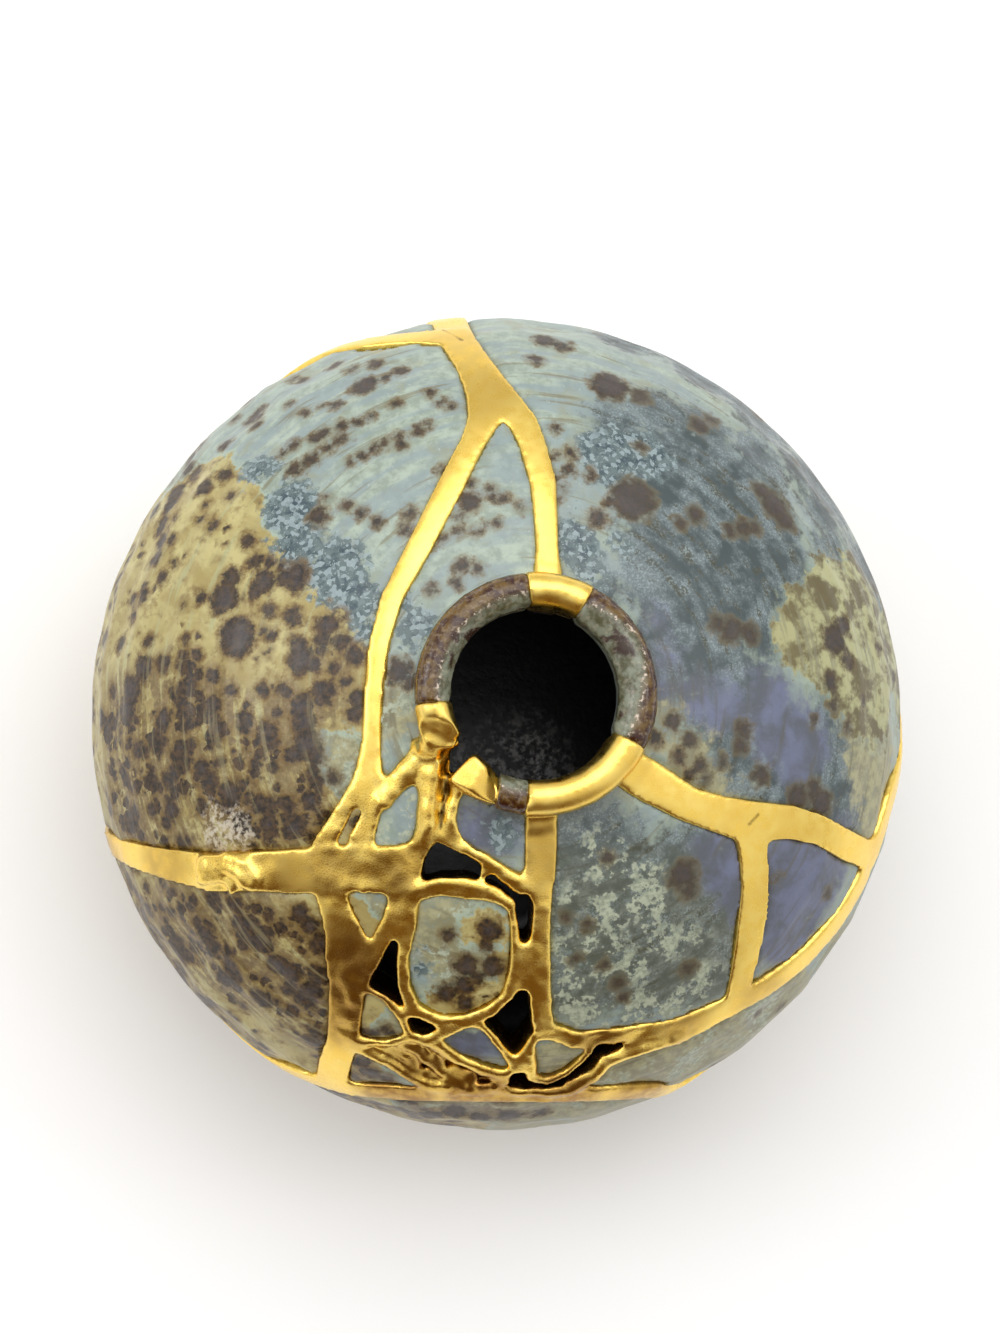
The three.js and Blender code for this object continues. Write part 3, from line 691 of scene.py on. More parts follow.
def connect(tree, shader, colour, gloss, height, strength, distance):
    inputs = {"Strength": strength, "Distance": distance * MM, "Height": height}
    bump = add(tree, "ShaderNodeBump", inputs)
    tree.links.new(colour, shader.inputs["Base Color"])
    tree.links.new(gloss, shader.inputs["Roughness"])
    tree.links.new(bump.outputs["Normal"], shader.inputs["Normal"])


print("middle grey as light:", [round(v, 3) for v in light(128, 128, 128)[:3]])

# %% [markdown]
# The next helpers do the sums of a recipe. The most used one is a soft step: it tells
# how far a value has come between two others. With it, clouds of noise decide how much
# of a second colour lies over a first: the two numbers after a cloud's name say where
# in the clouds the second colour starts and where it is full, and a third one, if there
# is one, how strong it gets. The amounts in the recipes were found by trying them and
# comparing with the picture.

# %% Sums, steps and blends
def work(tree, operation, *values):
    inputs = {i: value for i, value in enumerate(values)}
    return add(tree, "ShaderNodeMath", inputs, operation=operation).outputs[0]


def times(tree, first, second):
    return work(tree, "MULTIPLY", first, second)


def without(tree, mask):
    return work(tree, "SUBTRACT", 1.0, mask)


def largest(tree, first, *others):
    for value in others:
        first = work(tree, "MAXIMUM", first, value)
    return first


def weighed(tree, first, *others):
    """A sum of pairs, each a value and its weight."""
    total = times(tree, *first)
    for value, weight in others:
        total = work(tree, "MULTIPLY_ADD", value, weight, total)
    return total


def swayed(tree, value, clouding, reach):
    """A value moved up and down by clouds."""
    return work(tree, "MULTIPLY_ADD", work(tree, "SUBTRACT", clouding, 0.5), reach, value)


def between(tree, value, low, high, start=0.0, end=1.0):
    inputs = {0: value, 1: low, 2: high, 3: start, 4: end}
    return add(tree, "ShaderNodeMapRange", inputs, interpolation_type="SMOOTHSTEP").outputs[0]


def blend(tree, factor, first, second):
    node = add(tree, "ShaderNodeMix", {0: factor, 6: first, 7: second}, data_type="RGBA")
    return node.outputs[2]


def two_tone(tree, clouding, low, high, first, second):
    return blend(tree, between(tree, clouding, low, high), under_gloss(*first), under_gloss(*second))


def tint(tree, colour, clouding, low, high, most, second):
    return blend(tree, between(tree, clouding, low, high, 0.0, most), colour, under_gloss(*second))


print("black under the gloss:", under_gloss(0, 0, 0)[:3])

# %% [markdown]
# Where things go comes from the stored map and from clouds. Clouds are given their size
# in millimetres. A patch gets its ragged border by moving its stored depth up and down
# with the clouds before the soft step. Streaks along the throwing rings come from clouds
# squeezed across the rings: the climb up the body counts about ten times more than the
# way round it.

# %% Clouds, streaks and the stored map
STREAK, BAND, STREAK_LENGTH = 1.4, 2.8, 18.0


def clouds(tree, where, size, detail=3.0, rough=0.55, warp=0.0):
    inputs = {"Vector": where, "Scale": 1 / (size * MM), "Detail": detail, "Roughness": rough,
              "Distortion": warp}
    return add(tree, "ShaderNodeTexNoise", inputs).outputs["Fac"]


def stored(tree, name):
    return add(tree, "ShaderNodeAttribute", attribute_name=name).outputs["Fac"]


def ragged(tree, name, clouding, reach, edge):
    """A patch's mask, with a ragged border and a soft edge in millimetres."""
    return between(tree, swayed(tree, stored(tree, name), clouding, reach), -edge, edge)


def ring_streaks(tree, where, across):
    parts = add(tree, "ShaderNodeSeparateXYZ", {0: where})
    x = work(tree, "DIVIDE", parts.outputs["X"], STREAK_LENGTH * MM)
    y = work(tree, "DIVIDE", parts.outputs["Y"], STREAK_LENGTH * MM)
    up = work(tree, "DIVIDE", stored(tree, "climb"), across)
    squeezed = add(tree, "ShaderNodeCombineXYZ", {0: x, 1: y, 2: up}).outputs[0]
    inputs = {"Vector": squeezed, "Scale": 1.0, "Detail": 3.0}
    return add(tree, "ShaderNodeTexNoise", inputs).outputs["Fac"]


def wander(tree, where, size, reach):
    """The same place pushed about by clouds, so that what is drawn there turns irregular."""
    inputs = {"Vector": where, "Scale": 1 / (size * MM), "Detail": 2.0}
    cloud = add(tree, "ShaderNodeTexNoise", inputs).outputs["Color"]
    inputs = {0: cloud, 1: (0.5, 0.5, 0.5)}
    push = add(tree, "ShaderNodeVectorMath", inputs, operation="SUBTRACT").outputs[0]
    inputs = {0: push, 1: (reach * MM,) * 3, 2: where}
    return add(tree, "ShaderNodeVectorMath", inputs, operation="MULTIPLY_ADD").outputs[0]


def cells(tree, where, size):
    """Cells of a size in millimetres: the distance to a cell's middle, and its own random number."""
    inputs = {"Vector": where, "Scale": 1 / (size * MM), "Randomness": 1.0}
    net = add(tree, "ShaderNodeTexVoronoi", inputs)
    chance = add(tree, "ShaderNodeSeparateColor", {0: net.outputs["Color"]}).outputs[0]
    return net.outputs["Distance"], chance


print("streaks in mm:", STREAK, "and", BAND, "wide,", STREAK_LENGTH, "long")

# %% [markdown]
# The glaze is one recipe for all ceramic pieces, because it was one firing. All its
# colours share the same clouds and streaks and a few masks: the vase's front and right
# side, the crisp olive of the left, the parts where spots are soft, and the brown wash.
# They are made once and handed on together.

# %% The clouds and masks of the glaze
RIGHT_SIDE = (0.02, 0.06)
FRONT_SIDE = (-0.02, -0.036)


def shared_clouds(tree, where):
    mix = SimpleNamespace(where=where)
    mix.fine = clouds(tree, where, 0.45, 3.0, 0.6)
    mix.grain = clouds(tree, where, 1.0, 4.0, 0.6)
    mix.mottle = clouds(tree, where, 2.4, 5.0, 0.62)
    mix.flow = clouds(tree, where, 6.5, 4.0, 0.55, 0.4)
    mix.streak = ring_streaks(tree, where, STREAK)
    mix.band = ring_streaks(tree, where, BAND)
    sides = add(tree, "ShaderNodeSeparateXYZ", {0: where})
    mix.front = between(tree, sides.outputs["Y"], *FRONT_SIDE)
    mix.right = between(tree, sides.outputs["X"], *RIGHT_SIDE)
    return mix


def shared_masks(tree, mix):
    on_olive = between(tree, stored(tree, "olive"), -1.0, 2.0)
    mix.in_olive = times(tree, on_olive, without(tree, mix.right))
    blue = largest(tree, stored(tree, "slate"), stored(tree, "violet"))
    soft = between(tree, blue, -3.0, 2.0, 0.35, 0.9)
    soft = largest(tree, soft, times(tree, mix.right, 0.6))
    mix.soft = times(tree, soft, without(tree, mix.in_olive))
    mix.brown_wash = ragged(tree, "brown", mix.flow, 14.0, 4.0)


print("front starts at", FRONT_SIDE[0], "m, right side at", RIGHT_SIDE[0], "m")

# %% [markdown]
# The ground is the pale blue, with bluer bands and a brownish cast. Slate lies over it
# on the right, mossier at the front, with pale crumbs, then violet and, low down, sage.

# %% Pale blue, slate, violet and sage
def pale_glaze(tree, mix):
    pale = two_tone(tree, mix.mottle, 0.36, 0.64, (144, 156, 144), (170, 183, 169))
    pale = tint(tree, pale, mix.band, 0.42, 0.6, 0.7, (139, 153, 156))
    pale = tint(tree, pale, mix.flow, 0.52, 0.68, 0.6, (148, 151, 128))
    pale = tint(tree, pale, mix.streak, 0.59, 0.7, 0.6, (122, 114, 86))
    return tint(tree, pale, mix.grain, 0.62, 0.74, 0.6, (178, 188, 182))


def slate_glaze(tree, mix):
    cast = weighed(tree, (mix.flow, 0.45), (mix.band, 0.3), (mix.mottle, 0.25))
    slate = two_tone(tree, cast, 0.42, 0.59, (78, 87, 88), (116, 127, 129))
    moss = two_tone(tree, mix.mottle, 0.36, 0.64, (96, 100, 88), (126, 131, 118))
    slate = blend(tree, times(tree, mix.front, 0.75), slate, moss)
    smudge = weighed(tree, (mix.mottle, 0.5), (mix.streak, 0.5))
    slate = tint(tree, slate, smudge, 0.52, 0.62, 0.8, (78, 78, 64))
    crumbs = times(tree, between(tree, mix.fine, 0.5, 0.6), between(tree, cast, 0.42, 0.6))
    return blend(tree, times(tree, crumbs, 0.7), slate, under_gloss(150, 164, 166))


def violet_glaze(tree, mix):
    violet = two_tone(tree, mix.flow, 0.35, 0.65, (98, 102, 110), (114, 120, 143))
    violet = tint(tree, violet, mix.streak, 0.56, 0.68, 0.5, (100, 98, 88))
    return tint(tree, violet, mix.grain, 0.62, 0.74, 0.4, (134, 142, 155))


def sage_glaze(tree, mix):
    sage = two_tone(tree, mix.mottle, 0.36, 0.64, (140, 138, 112), (172, 169, 134))
    sage = tint(tree, sage, mix.streak, 0.54, 0.68, 0.55, (112, 106, 86))
    return tint(tree, sage, mix.grain, 0.6, 0.72, 0.6, (146, 156, 152))


def ground_glaze(tree, mix):
    slate = ragged(tree, "slate", mix.mottle, 20.0, 3.0)
    colour = blend(tree, slate, pale_glaze(tree, mix), slate_glaze(tree, mix))
    violet = ragged(tree, "violet", mix.mottle, 10.0, 3.0)
    colour = blend(tree, violet, colour, violet_glaze(tree, mix))
    sage = ragged(tree, "sage", mix.mottle, 14.0, 2.5)
    return blend(tree, sage, colour, sage_glaze(tree, mix))


print("pale ground as light:", [round(v, 3) for v in under_gloss(170, 183, 169)[:3]])

# %% [markdown]
# Lichen green lies over the ground as a broken lace. The olive has a crisp border with
# a pale halo on the left and is faded and patchy on the right. Crystals are small cells
# of Voronoi texture, some of them bright, over a dark blue.

# %% Lichen, olive and crystal
CRYSTAL_CELL = 0.85


def lay_lichen(tree, mix, colour):
    lichen = two_tone(tree, mix.grain, 0.4, 0.62, (146, 154, 136), (176, 183, 161))
    frayed = weighed(tree, (mix.flow, 0.6), (mix.grain, 0.3), (mix.mottle, 0.6))
    lace = between(tree, frayed, 0.755, 0.8)
    mask = times(tree, ragged(tree, "lichen", mix.flow, 12.0, 3.0), lace)
    return blend(tree, mask, colour, lichen)


def olive_glaze(tree, mix):
    olive = two_tone(tree, mix.flow, 0.35, 0.65, (164, 149, 98), (191, 181, 128))
    olive = tint(tree, olive, mix.mottle, 0.5, 0.68, 0.7, (140, 121, 80))
    olive = tint(tree, olive, mix.streak, 0.57, 0.66, 0.6, (172, 174, 134))
    patchy = weighed(tree, (mix.mottle, 0.4), (mix.flow, 0.6))
    faded = two_tone(tree, patchy, 0.43, 0.57, (176, 176, 134), (108, 100, 74))
    faded = tint(tree, faded, mix.streak, 0.52, 0.66, 0.6, (134, 132, 110))
    return blend(tree, mix.right, olive, faded)


def lay_olive(tree, mix, colour):
    halo = between(tree, swayed(tree, stored(tree, "olive"), mix.mottle, 9.0), -2.2, -0.4, 0.0, 0.8)
    halo = times(tree, halo, work(tree, "MULTIPLY_ADD", mix.right, -0.7, 1.0))
    colour = blend(tree, halo, colour, under_gloss(164, 180, 164))
    crisp = times(tree, ragged(tree, "olive", mix.mottle, 9.0, 0.5), without(tree, mix.right))
    loose = times(tree, ragged(tree, "olive", mix.mottle, 13.0, 0.8), mix.right)
    return blend(tree, work(tree, "ADD", crisp, loose), colour, olive_glaze(tree, mix))


def lay_crystal(tree, mix, colour):
    _, shards = cells(tree, mix.where, CRYSTAL_CELL)
    crystal = two_tone(tree, mix.mottle, 0.38, 0.6, (74, 88, 94), (106, 120, 120))
    crystal = tint(tree, crystal, shards, 0.5, 0.9, 0.75, (158, 173, 176))
    crystal = tint(tree, crystal, mix.fine, 0.6, 0.7, 0.7, (186, 196, 192))
    return blend(tree, ragged(tree, "crystal", mix.mottle, 13.0, 1.0), colour, crystal)


print("crystal cells in mm:", CRYSTAL_CELL)

# %% [markdown]
# Iron spots come in every size, so the small ones are made in the material. A Voronoi
# texture gives each of its cells a middle and a random number. A cell gets a spot when
# the iron there is richer than its number, and the spot grows with the difference, so
# a few small spots turn into a dense leopard net where the iron is rich. The spots that
# have their own places come from the stored map.

# %% Where the iron spots are
COARSE_CELL, SMALL_CELL, SPECK_CELL = 5.0, 2.7, 1.3


def iron_layer(tree, where, size, iron, clouding):
    distance, chance = cells(tree, where, size)
    radius = between(tree, work(tree, "SUBTRACT", iron, chance), -0.05, 0.75, 0.0, 0.56)
    inside = work(tree, "SUBTRACT", radius, swayed(tree, distance, clouding, 0.5))
    present = between(tree, radius, 0.03, 0.12)
    core = times(tree, between(tree, inside, -0.07, 0.13), present)
    halo = times(tree, between(tree, inside, -0.42, 0.06), present)
    return core, halo


def placed_spots(tree, mix):
    uneven = work(tree, "MULTIPLY_ADD", mix.in_olive, -1.6, 4.6)
    depth = swayed(tree, stored(tree, "spot"), mix.mottle, uneven)
    depth = swayed(tree, depth, mix.fine, 1.0)
    core_starts = work(tree, "MULTIPLY_ADD", mix.soft, -0.5, -0.35)
    core_full = work(tree, "MULTIPLY_ADD", mix.soft, 0.7, 0.5)
    halo_starts = work(tree, "MULTIPLY_ADD", mix.soft, 0.4, -1.7)
    core = between(tree, depth, core_starts, core_full)
    return core, between(tree, depth, halo_starts, 0.0), depth


def iron_spots(tree, mix):
    rich = between(tree, stored(tree, "brown"), -7.0, 7.0, 0.0, 0.86)
    iron = largest(tree, rich, times(tree, mix.in_olive, 0.36), 0.05)
    iron = swayed(tree, iron, mix.flow, 0.6)
    bent = wander(tree, mix.where, 1.6, 2.4)
    coarse_core, coarse_halo = iron_layer(tree, bent, COARSE_CELL, iron, mix.mottle)
    small_core, small_halo = iron_layer(tree, bent, SMALL_CELL, iron, mix.mottle)
    few = work(tree, "MULTIPLY_ADD", iron, 0.3, 0.02)
    specks, _ = iron_layer(tree, mix.where, SPECK_CELL, few, mix.grain)
    placed_core, placed_halo, depth = placed_spots(tree, mix)
    core = largest(tree, coarse_core, small_core, placed_core, times(tree, specks, 0.7))
    return core, largest(tree, coarse_halo, small_halo, placed_halo), depth


print("cells of the spots in mm:", COARSE_CELL, SMALL_CELL, SPECK_CELL)

# %% [markdown]
# The brown wash lies under the spots. A spot has a rusty halo, a dark core and, where it
# is deep, a plum sheen in the middle. Where spots are soft, on the blue side, they are
# paler and less red. Painted glints are a crust of pale grains on the brown: painted
# highlights that stand for small sparkling glints.

# %% Brown, iron and painted glints
def lay_brown(tree, mix, colour):
    brown = two_tone(tree, mix.grain, 0.35, 0.7, (98, 81, 60), (136, 117, 87))
    thin = work(tree, "MULTIPLY_ADD", mix.streak, 0.9, mix.mottle)
    worn = between(tree, thin, 0.9, 1.06, 0.78, 0.0)
    return blend(tree, times(tree, mix.brown_wash, worn), colour, brown)


def lay_iron(tree, mix, colour):
    core, halo, depth = iron_spots(tree, mix)
    rust = blend(tree, mix.grain, under_gloss(94, 72, 42), under_gloss(130, 106, 64))
    rust = blend(tree, mix.soft, rust, under_gloss(116, 108, 84))
    haze = times(tree, halo, between(tree, mix.mottle, 0.3, 0.65, 0.5, 1.0))
    haze = times(tree, haze, work(tree, "MULTIPLY_ADD", mix.soft, -0.2, 0.9))
    colour = blend(tree, haze, colour, rust)
    ironed = two_tone(tree, mix.grain, 0.35, 0.65, (50, 38, 30), (86, 70, 56))
    ironed = blend(tree, times(tree, mix.soft, 0.6), ironed, under_gloss(84, 77, 66))
    colour = blend(tree, times(tree, core, 0.93), colour, ironed)
    plum = between(tree, depth, 0.8, 1.9, 0.0, 0.75)
    plum = times(tree, plum, between(tree, mix.fine, 0.4, 0.6, 0.4, 1.0))
    colour = blend(tree, plum, colour, under_gloss(82, 77, 78))
    scraped = times(tree, between(tree, mix.streak, 0.58, 0.7, 0.0, 0.4), mix.brown_wash)
    return blend(tree, scraped, colour, under_gloss(158, 147, 110)), core


def lay_painted_glints(tree, mix, colour):
    # Painted highlight: pale grains where the glaze glints.
    painted_glints = ragged(tree, "painted_glints", mix.mottle, 8.0, 1.5)
    painted_glints = times(tree, painted_glints, between(tree, mix.grain, 0.42, 0.6))
    return blend(tree, times(tree, painted_glints, 0.8), colour, under_gloss(206, 198, 180))


print("a spot's core as light:", [round(v, 3) for v in under_gloss(50, 38, 30)[:3]])

# %% [markdown]
# The lip is a bronze glaze that breaks to pale on its mouth side, with painted glints,
# pale highlights in the colour, along the ridge between the two. The inside is painted
# nearly black, as the shade inside the vase, with a painted pool of light and pale grit on
# its floor, and the foot and the recess under it are bare clay.

# %% Lip, inside and foot
def lip_glaze(tree, mix):
    mouth_side = stored(tree, "mouth_side")
    bronze = two_tone(tree, mix.mottle, 0.38, 0.62, (72, 53, 31), (112, 90, 57))
    inner = two_tone(tree, mix.mottle, 0.36, 0.64, (96, 95, 76), (138, 143, 126))
    bronze = blend(tree, mouth_side, bronze, inner)
    bronze = tint(tree, bronze, mix.flow, 0.56, 0.64, 0.85, (66, 42, 30))
    ridge = between(tree, mouth_side, 0.02, 0.3)
    ridge = times(tree, ridge, between(tree, mouth_side, 0.9, 0.5))
    # Painted highlight: pale glints, strongest along the lip's ridge.
    painted_lip_highlight = between(tree, mix.grain, 0.52, 0.62)
    painted_lip_highlight = times(tree, painted_lip_highlight, work(tree, "MULTIPLY_ADD", ridge, 0.8, 0.15))
    return blend(tree, painted_lip_highlight, bronze, under_gloss(214, 198, 178))


def lay_bare_parts(tree, mix, colour):
    # Painted shade: the inside and the broken faces are coloured near black.
    inside_shade = two_tone(tree, mix.grain, 0.4, 0.66, (6, 6, 7), (34, 34, 33))
    pebble = weighed(tree, (mix.mottle, 0.7), (mix.grain, 0.3))
    # Painted light: a pale pebbly pool of light on the inner floor.
    grit_and_light_pool = two_tone(tree, pebble, 0.46, 0.6, (60, 60, 58), (253, 253, 251))
    inside_shade = blend(tree, stored(tree, "grit_and_light_pool"), inside_shade, grit_and_light_pool)
    colour = blend(tree, stored(tree, "skin"), inside_shade, colour)
    clay = blend(tree, mix.mottle, under_gloss(140, 112, 88), under_gloss(170, 142, 112))
    return blend(tree, stored(tree, "foot"), colour, clay)


print("bare clay as light:", [round(v, 3) for v in under_gloss(140, 112, 88)[:3]])

# %% [markdown]
# Now the layers are put on in their order. The gloss changes a little from place to
# place and is higher on the lip. The surface is a shallow bump: it follows the mottle,
# the grain and the streaks, and sinks a little where the iron has burnt through.

# %% Mix the glaze
GLAZE_IOR = 1.5
LIP_GLOSS = -0.2
GLAZE_BUMP, GLAZE_BUMP_DEPTH = 0.4, 0.25


def glaze_finish():
    finish, tree, shader, where = new_finish("speckled stoneware glaze")
    mix = shared_clouds(tree, where)
    shared_masks(tree, mix)
    colour = ground_glaze(tree, mix)
    for lay in (lay_lichen, lay_olive, lay_crystal, lay_brown):
        colour = lay(tree, mix, colour)
    colour, core = lay_iron(tree, mix, colour)
    colour = lay_painted_glints(tree, mix, colour)
    on_lip = stored(tree, "lip")
    colour = blend(tree, on_lip, colour, lip_glaze(tree, mix))
    colour = lay_bare_parts(tree, mix, colour)
    gloss = between(tree, mix.mottle, 0.3, 0.7, 0.3, 0.44)
    gloss = work(tree, "MULTIPLY_ADD", on_lip, LIP_GLOSS, gloss)
    height = weighed(tree, (mix.grain, 0.5), (mix.mottle, 0.8), (mix.streak, 0.12), (core, -0.4))
    connect(tree, shader, colour, gloss, height, GLAZE_BUMP, GLAZE_BUMP_DEPTH)
    shader.inputs["IOR"].default_value = GLAZE_IOR
    return finish


glaze = glaze_finish()
for piece in ceramic.values():
    piece.data.materials.clear()
    piece.data.materials.append(glaze)
print("glaze nodes:", len(glaze.node_tree.nodes))

# %% [markdown]
# The gold is one branching piece. Before its solid is rebuilt, drops of gold are pressed
# into it, so that they melt into the seam: single beads along the lattice and in the
# sunken hollow, rows of drops that become ridges and folds, and some on the broken lip.
# Sculpting by hand could do the same, but drops with a place are easy to move. A bead
# is given by x and y in the picture, its radius and how far it is lifted, a ridge by its
# line in the picture, radius and lift, and a drop on the lip by bearing, reach, height
# and radius.

# %% Place the beads, ridges and drops
BEADS = [
    (484, 872, 1.1, 0.2), (447, 879, 0.9, 0.4), (432, 1036, 1.3, 0.2), (537, 952, 1.2, 0.3),
    (541, 905, 1.3, 0.2), (520, 887, 1.3, 0.3), (366, 989, 1.0, 0.4), (418, 893, 1.2, 0.2),
    (416, 745, 1.8, -1.0), (240, 876, 3.3, -0.5), (228, 873, 2.8, -0.6), (250, 880, 2.4, -0.2),
    (435, 1086, 1.6, 0.0), (446, 1085, 1.4, 0.2), (480, 1086, 1.5, 0.1), (493, 1086, 1.4, 0.2),
    (462, 1086, 1.2, 0.3), (505, 1080, 1.2, 0.2), (526, 1090, 1.0, 0.3), (566, 1087, 1.2, 0.4),
    (388, 1056, 1.8, -1.5), (405, 1070, 1.6, -1.6), (440, 1062, 1.5, -1.4), (395, 1064, 2.0, -2.1),
    (414, 1077, 1.9, -2.0), (432, 1079, 1.9, -1.9), (452, 1075, 1.9, -1.9), (470, 1080, 1.7, -1.6),
]
RIDGES = [
    ([(434, 742), (430, 765), (428, 790), (427, 815), (424, 846)], 2.2, 0.0),
    ([(438, 760), (434, 785), (431, 805), (431, 828)], 1.0, 1.5),
    ([(464, 778), (457, 796), (451, 822), (459, 841), (490, 861), (525, 884)], 1.1, 0.5),
    ([(384, 800), (405, 775), (425, 753), (437, 742)], 1.9, 0.0),
    ([(415, 889), (440, 881), (470, 882), (495, 891), (513, 906)], 1.3, 0.5),
    ([(404, 925), (401, 955), (402, 985), (413, 1008), (440, 1021)], 0.9, 0.5),
    ([(440, 1021), (466, 1020), (492, 1010), (508, 994), (515, 966), (514, 935)], 0.9, 0.5),
    ([(545, 1090), (570, 1086), (592, 1074), (604, 1061), (640, 1047), (685, 1034)], 1.5, 0.5),
    ([(380, 1048), (396, 1052), (408, 1062), (418, 1078)], 1.4, -1.2),
    ([(400, 1046), (416, 1052), (432, 1066), (452, 1080), (470, 1086)], 1.5, -0.8),
    ([(424, 1042), (436, 1050), (456, 1060), (478, 1070), (500, 1080)], 1.1, -0.3),
    ([(366, 987), (386, 997), (401, 1014), (412, 1036)], 0.75, 0.5),
    ([(362, 1042), (386, 1043), (410, 1037)], 0.65, 0.5),
    ([(357, 1047), (385, 1061), (408, 1076), (424, 1086)], 0.85, 0.5),
    ([(425, 1039), (446, 1031), (470, 1022), (484, 1025)], 0.9, 0.5),
    ([(484, 1025), (499, 1042), (511, 1059)], 0.8, 0.5),
    ([(440, 1043), (458, 1057), (482, 1067), (505, 1073)], 0.85, 0.5),
    ([(531, 1040), (529, 1058), (532, 1078)], 1.0, 0.5),
    ([(548, 1080), (568, 1071), (584, 1056), (590, 1048)], 0.7, 0.5),
    ([(430, 1088), (470, 1090), (520, 1091), (560, 1090)], 0.8, 0.5),
    ([(205, 860), (230, 855), (250, 862), (259, 877), (252, 888)], 1.1, 1.4),
    ([(205, 868), (230, 864), (245, 871), (249, 884)], 1.0, 1.9),
    ([(205, 878), (226, 875), (238, 882), (236, 890)], 1.0, 1.6),
]
LIP_DROPS = [
    (190, 20.6, 109.3, 1.9), (197, 18.4, 109.6, 2.0), (203, 20.0, 108.4, 2.5),
    (208, 18.4, 107.2, 2.0), (206, 21.2, 105.6, 2.6), (207, 21.6, 104.4, 2.6),
    (211, 22.1, 103.0, 2.6), (216, 22.8, 101.6, 2.3),
]
RIDGE_STEP = 0.6
RIDGE_SEED = 5
RIDGE_SIZES = (0.85, 1.15)
RIDGE_LIFTS = (-0.15, 0.15)


def ridge_drops():
    draw = random.Random(RIDGE_SEED)
    drops = []
    for line, radius, lift in RIDGES:
        for start, end in zip(line, line[1:]):
            first, last = seen(*start), seen(*end)
            count = max(2, round((last - first).length / (radius * RIDGE_STEP)))
            for i in range(count):
                place = first.lerp(last, i / count)
                size = radius * draw.uniform(*RIDGE_SIZES)
                drops.append((place, size, lift + draw.uniform(*RIDGE_LIFTS)))
    return drops


DROPS = [(seen(x, y), radius, lift) for x, y, radius, lift in BEADS] + ridge_drops()
for bearing, reach, height, radius in LIP_DROPS:
    DROPS.append((Vector(by_bearing(bearing, reach, height)), radius, 0.0))
print("drops of gold:", len(DROPS))

# %% [markdown]
# Each drop is a small sphere, slightly flattened against the wall. The drops are made in
# batches, because adding to a large mesh again and again is slow. Then the seam gets its
# dense copy like any other piece, and the voxels join the drops to it.

# %% Melt the drops into the seam
SEAM_VOXEL = 0.56
DROP_BATCH = 40
DROP_FLATNESS = 0.8


def press_in_drops(bm):
    for first in range(0, len(DROPS), DROP_BATCH):
        batch = bmesh.new()
        for place, radius, lift in DROPS[first:first + DROP_BATCH]:
            out = Vector(stand_off(np.array([place]))[1][0])
            turn = out.to_track_quat("Z", "Y").to_matrix().to_4x4()
            shape = Matrix.Diagonal((radius * MM, radius * MM, radius * DROP_FLATNESS * MM, 1.0))
            where = Matrix.Translation((place + out * lift) * MM) @ turn @ shape
            bmesh.ops.create_icosphere(batch, subdivisions=2, radius=1.0, matrix=where)
        mesh = bpy.data.meshes.new("drops")
        batch.to_mesh(mesh)
        batch.free()
        bm.from_mesh(mesh)
        bpy.data.meshes.remove(mesh)


seam = dense_copy("gold_seams", "gold_seam", SEAM_VOXEL, press_in_drops)
print("gold points:", len(seam.data.vertices))

# %% [markdown]
# The top of the plain ribbons is laid onto a globe just above the clay, so that it is
# flat and smooth, and it drops a little towards its edges. To know how far a point is
# from an edge, a tree of the points on the seam's sides is searched for the nearest one.
# In the lattice the gold was built up by hand: there it keeps its shape, with lumps and
# a slight swell.

# %% Lay the top of the seam
SEAM_PROUD = 0.5
EDGE_DROP, EDGE_WIDTH = 0.2, 1.6
FARTHEST = 4.0
SIDE_BAND = 0.6
HALF_TURNED = 0.5
TOP_FACES, TOP_STARTS, TOP_ENDS = (0.5, 0.85), (0.1, 0.4), (1.5, 2.0)
NECK_STARTS, NECK_REACH = (102.0, 103.5), 25
BUILT_UP_FADES = (-4.0, 3.0)
RIBBON_LUMPS, BUILT_UP_LUMPS = 0.03, 0.3
SWELL, SWELL_STARTS = 0.28, (-2.5, -1.0)
SWELL_NOISE = (4.5, 5.3)
LATTICE = shown(
    (385, 860, 14), (430, 790, 10), (350, 985, 10), (400, 1010, 14), (470, 1040, 16),
    (540, 950, 11), (560, 1070, 13), (480, 890, 10), (640, 1050, 8), (234, 872, 9),
)


def hand_built(points):
    return smooth_step(*BUILT_UP_FADES, depth_inside(points, LATTICE))


def from_edge(points, sides, wanted):
    """How far the wanted points are from the nearest point on the seam's sides."""
    tree = kdtree.KDTree(int(sides.sum()))
    for i, place in enumerate(points[sides].tolist()):
        tree.insert(place, i)
    tree.balance()
    away = np.full(len(points), FARTHEST)
    for i in np.flatnonzero(wanted):
        away[i] = min(tree.find(points[i].tolist())[2], FARTHEST)
    return away


def lay_top(points, normal, lumps):
    off, out = stand_off(points)
    facing = np.einsum("ij,ij->i", normal, out)
    sides = (np.abs(facing) < HALF_TURNED) & (np.abs(off) < SIDE_BAND)
    away = from_edge(points, sides, (facing > HALF_TURNED) & (off > 0))
    built_up = hand_built(points)
    at_neck = np.hypot(points[:, 0], points[:, 1]) < NECK_REACH
    top = smooth_step(*TOP_FACES, facing) * smooth_step(*TOP_STARTS, off)
    top = top * (1 - smooth_step(*TOP_ENDS, off))
    top *= 1 - smooth_step(*NECK_STARTS, points[:, 2]) * at_neck
    aim = SEAM_PROUD + UNEVEN * drift(points, UNEVEN_SIZE) + RIBBON_LUMPS * lumps
    aim -= EDGE_DROP * (1 - smooth_step(0.0, EDGE_WIDTH, away))
    lifted = (1 - built_up) * (aim - off) + built_up * BUILT_UP_LUMPS * lumps
    swell = built_up * smooth_step(*SWELL_STARTS, off) * drift(points, *SWELL_NOISE)
    return points + out * (top * lifted)[:, None] + normal * (SWELL * swell)[:, None]


print("places built up by hand:", len(LATTICE))

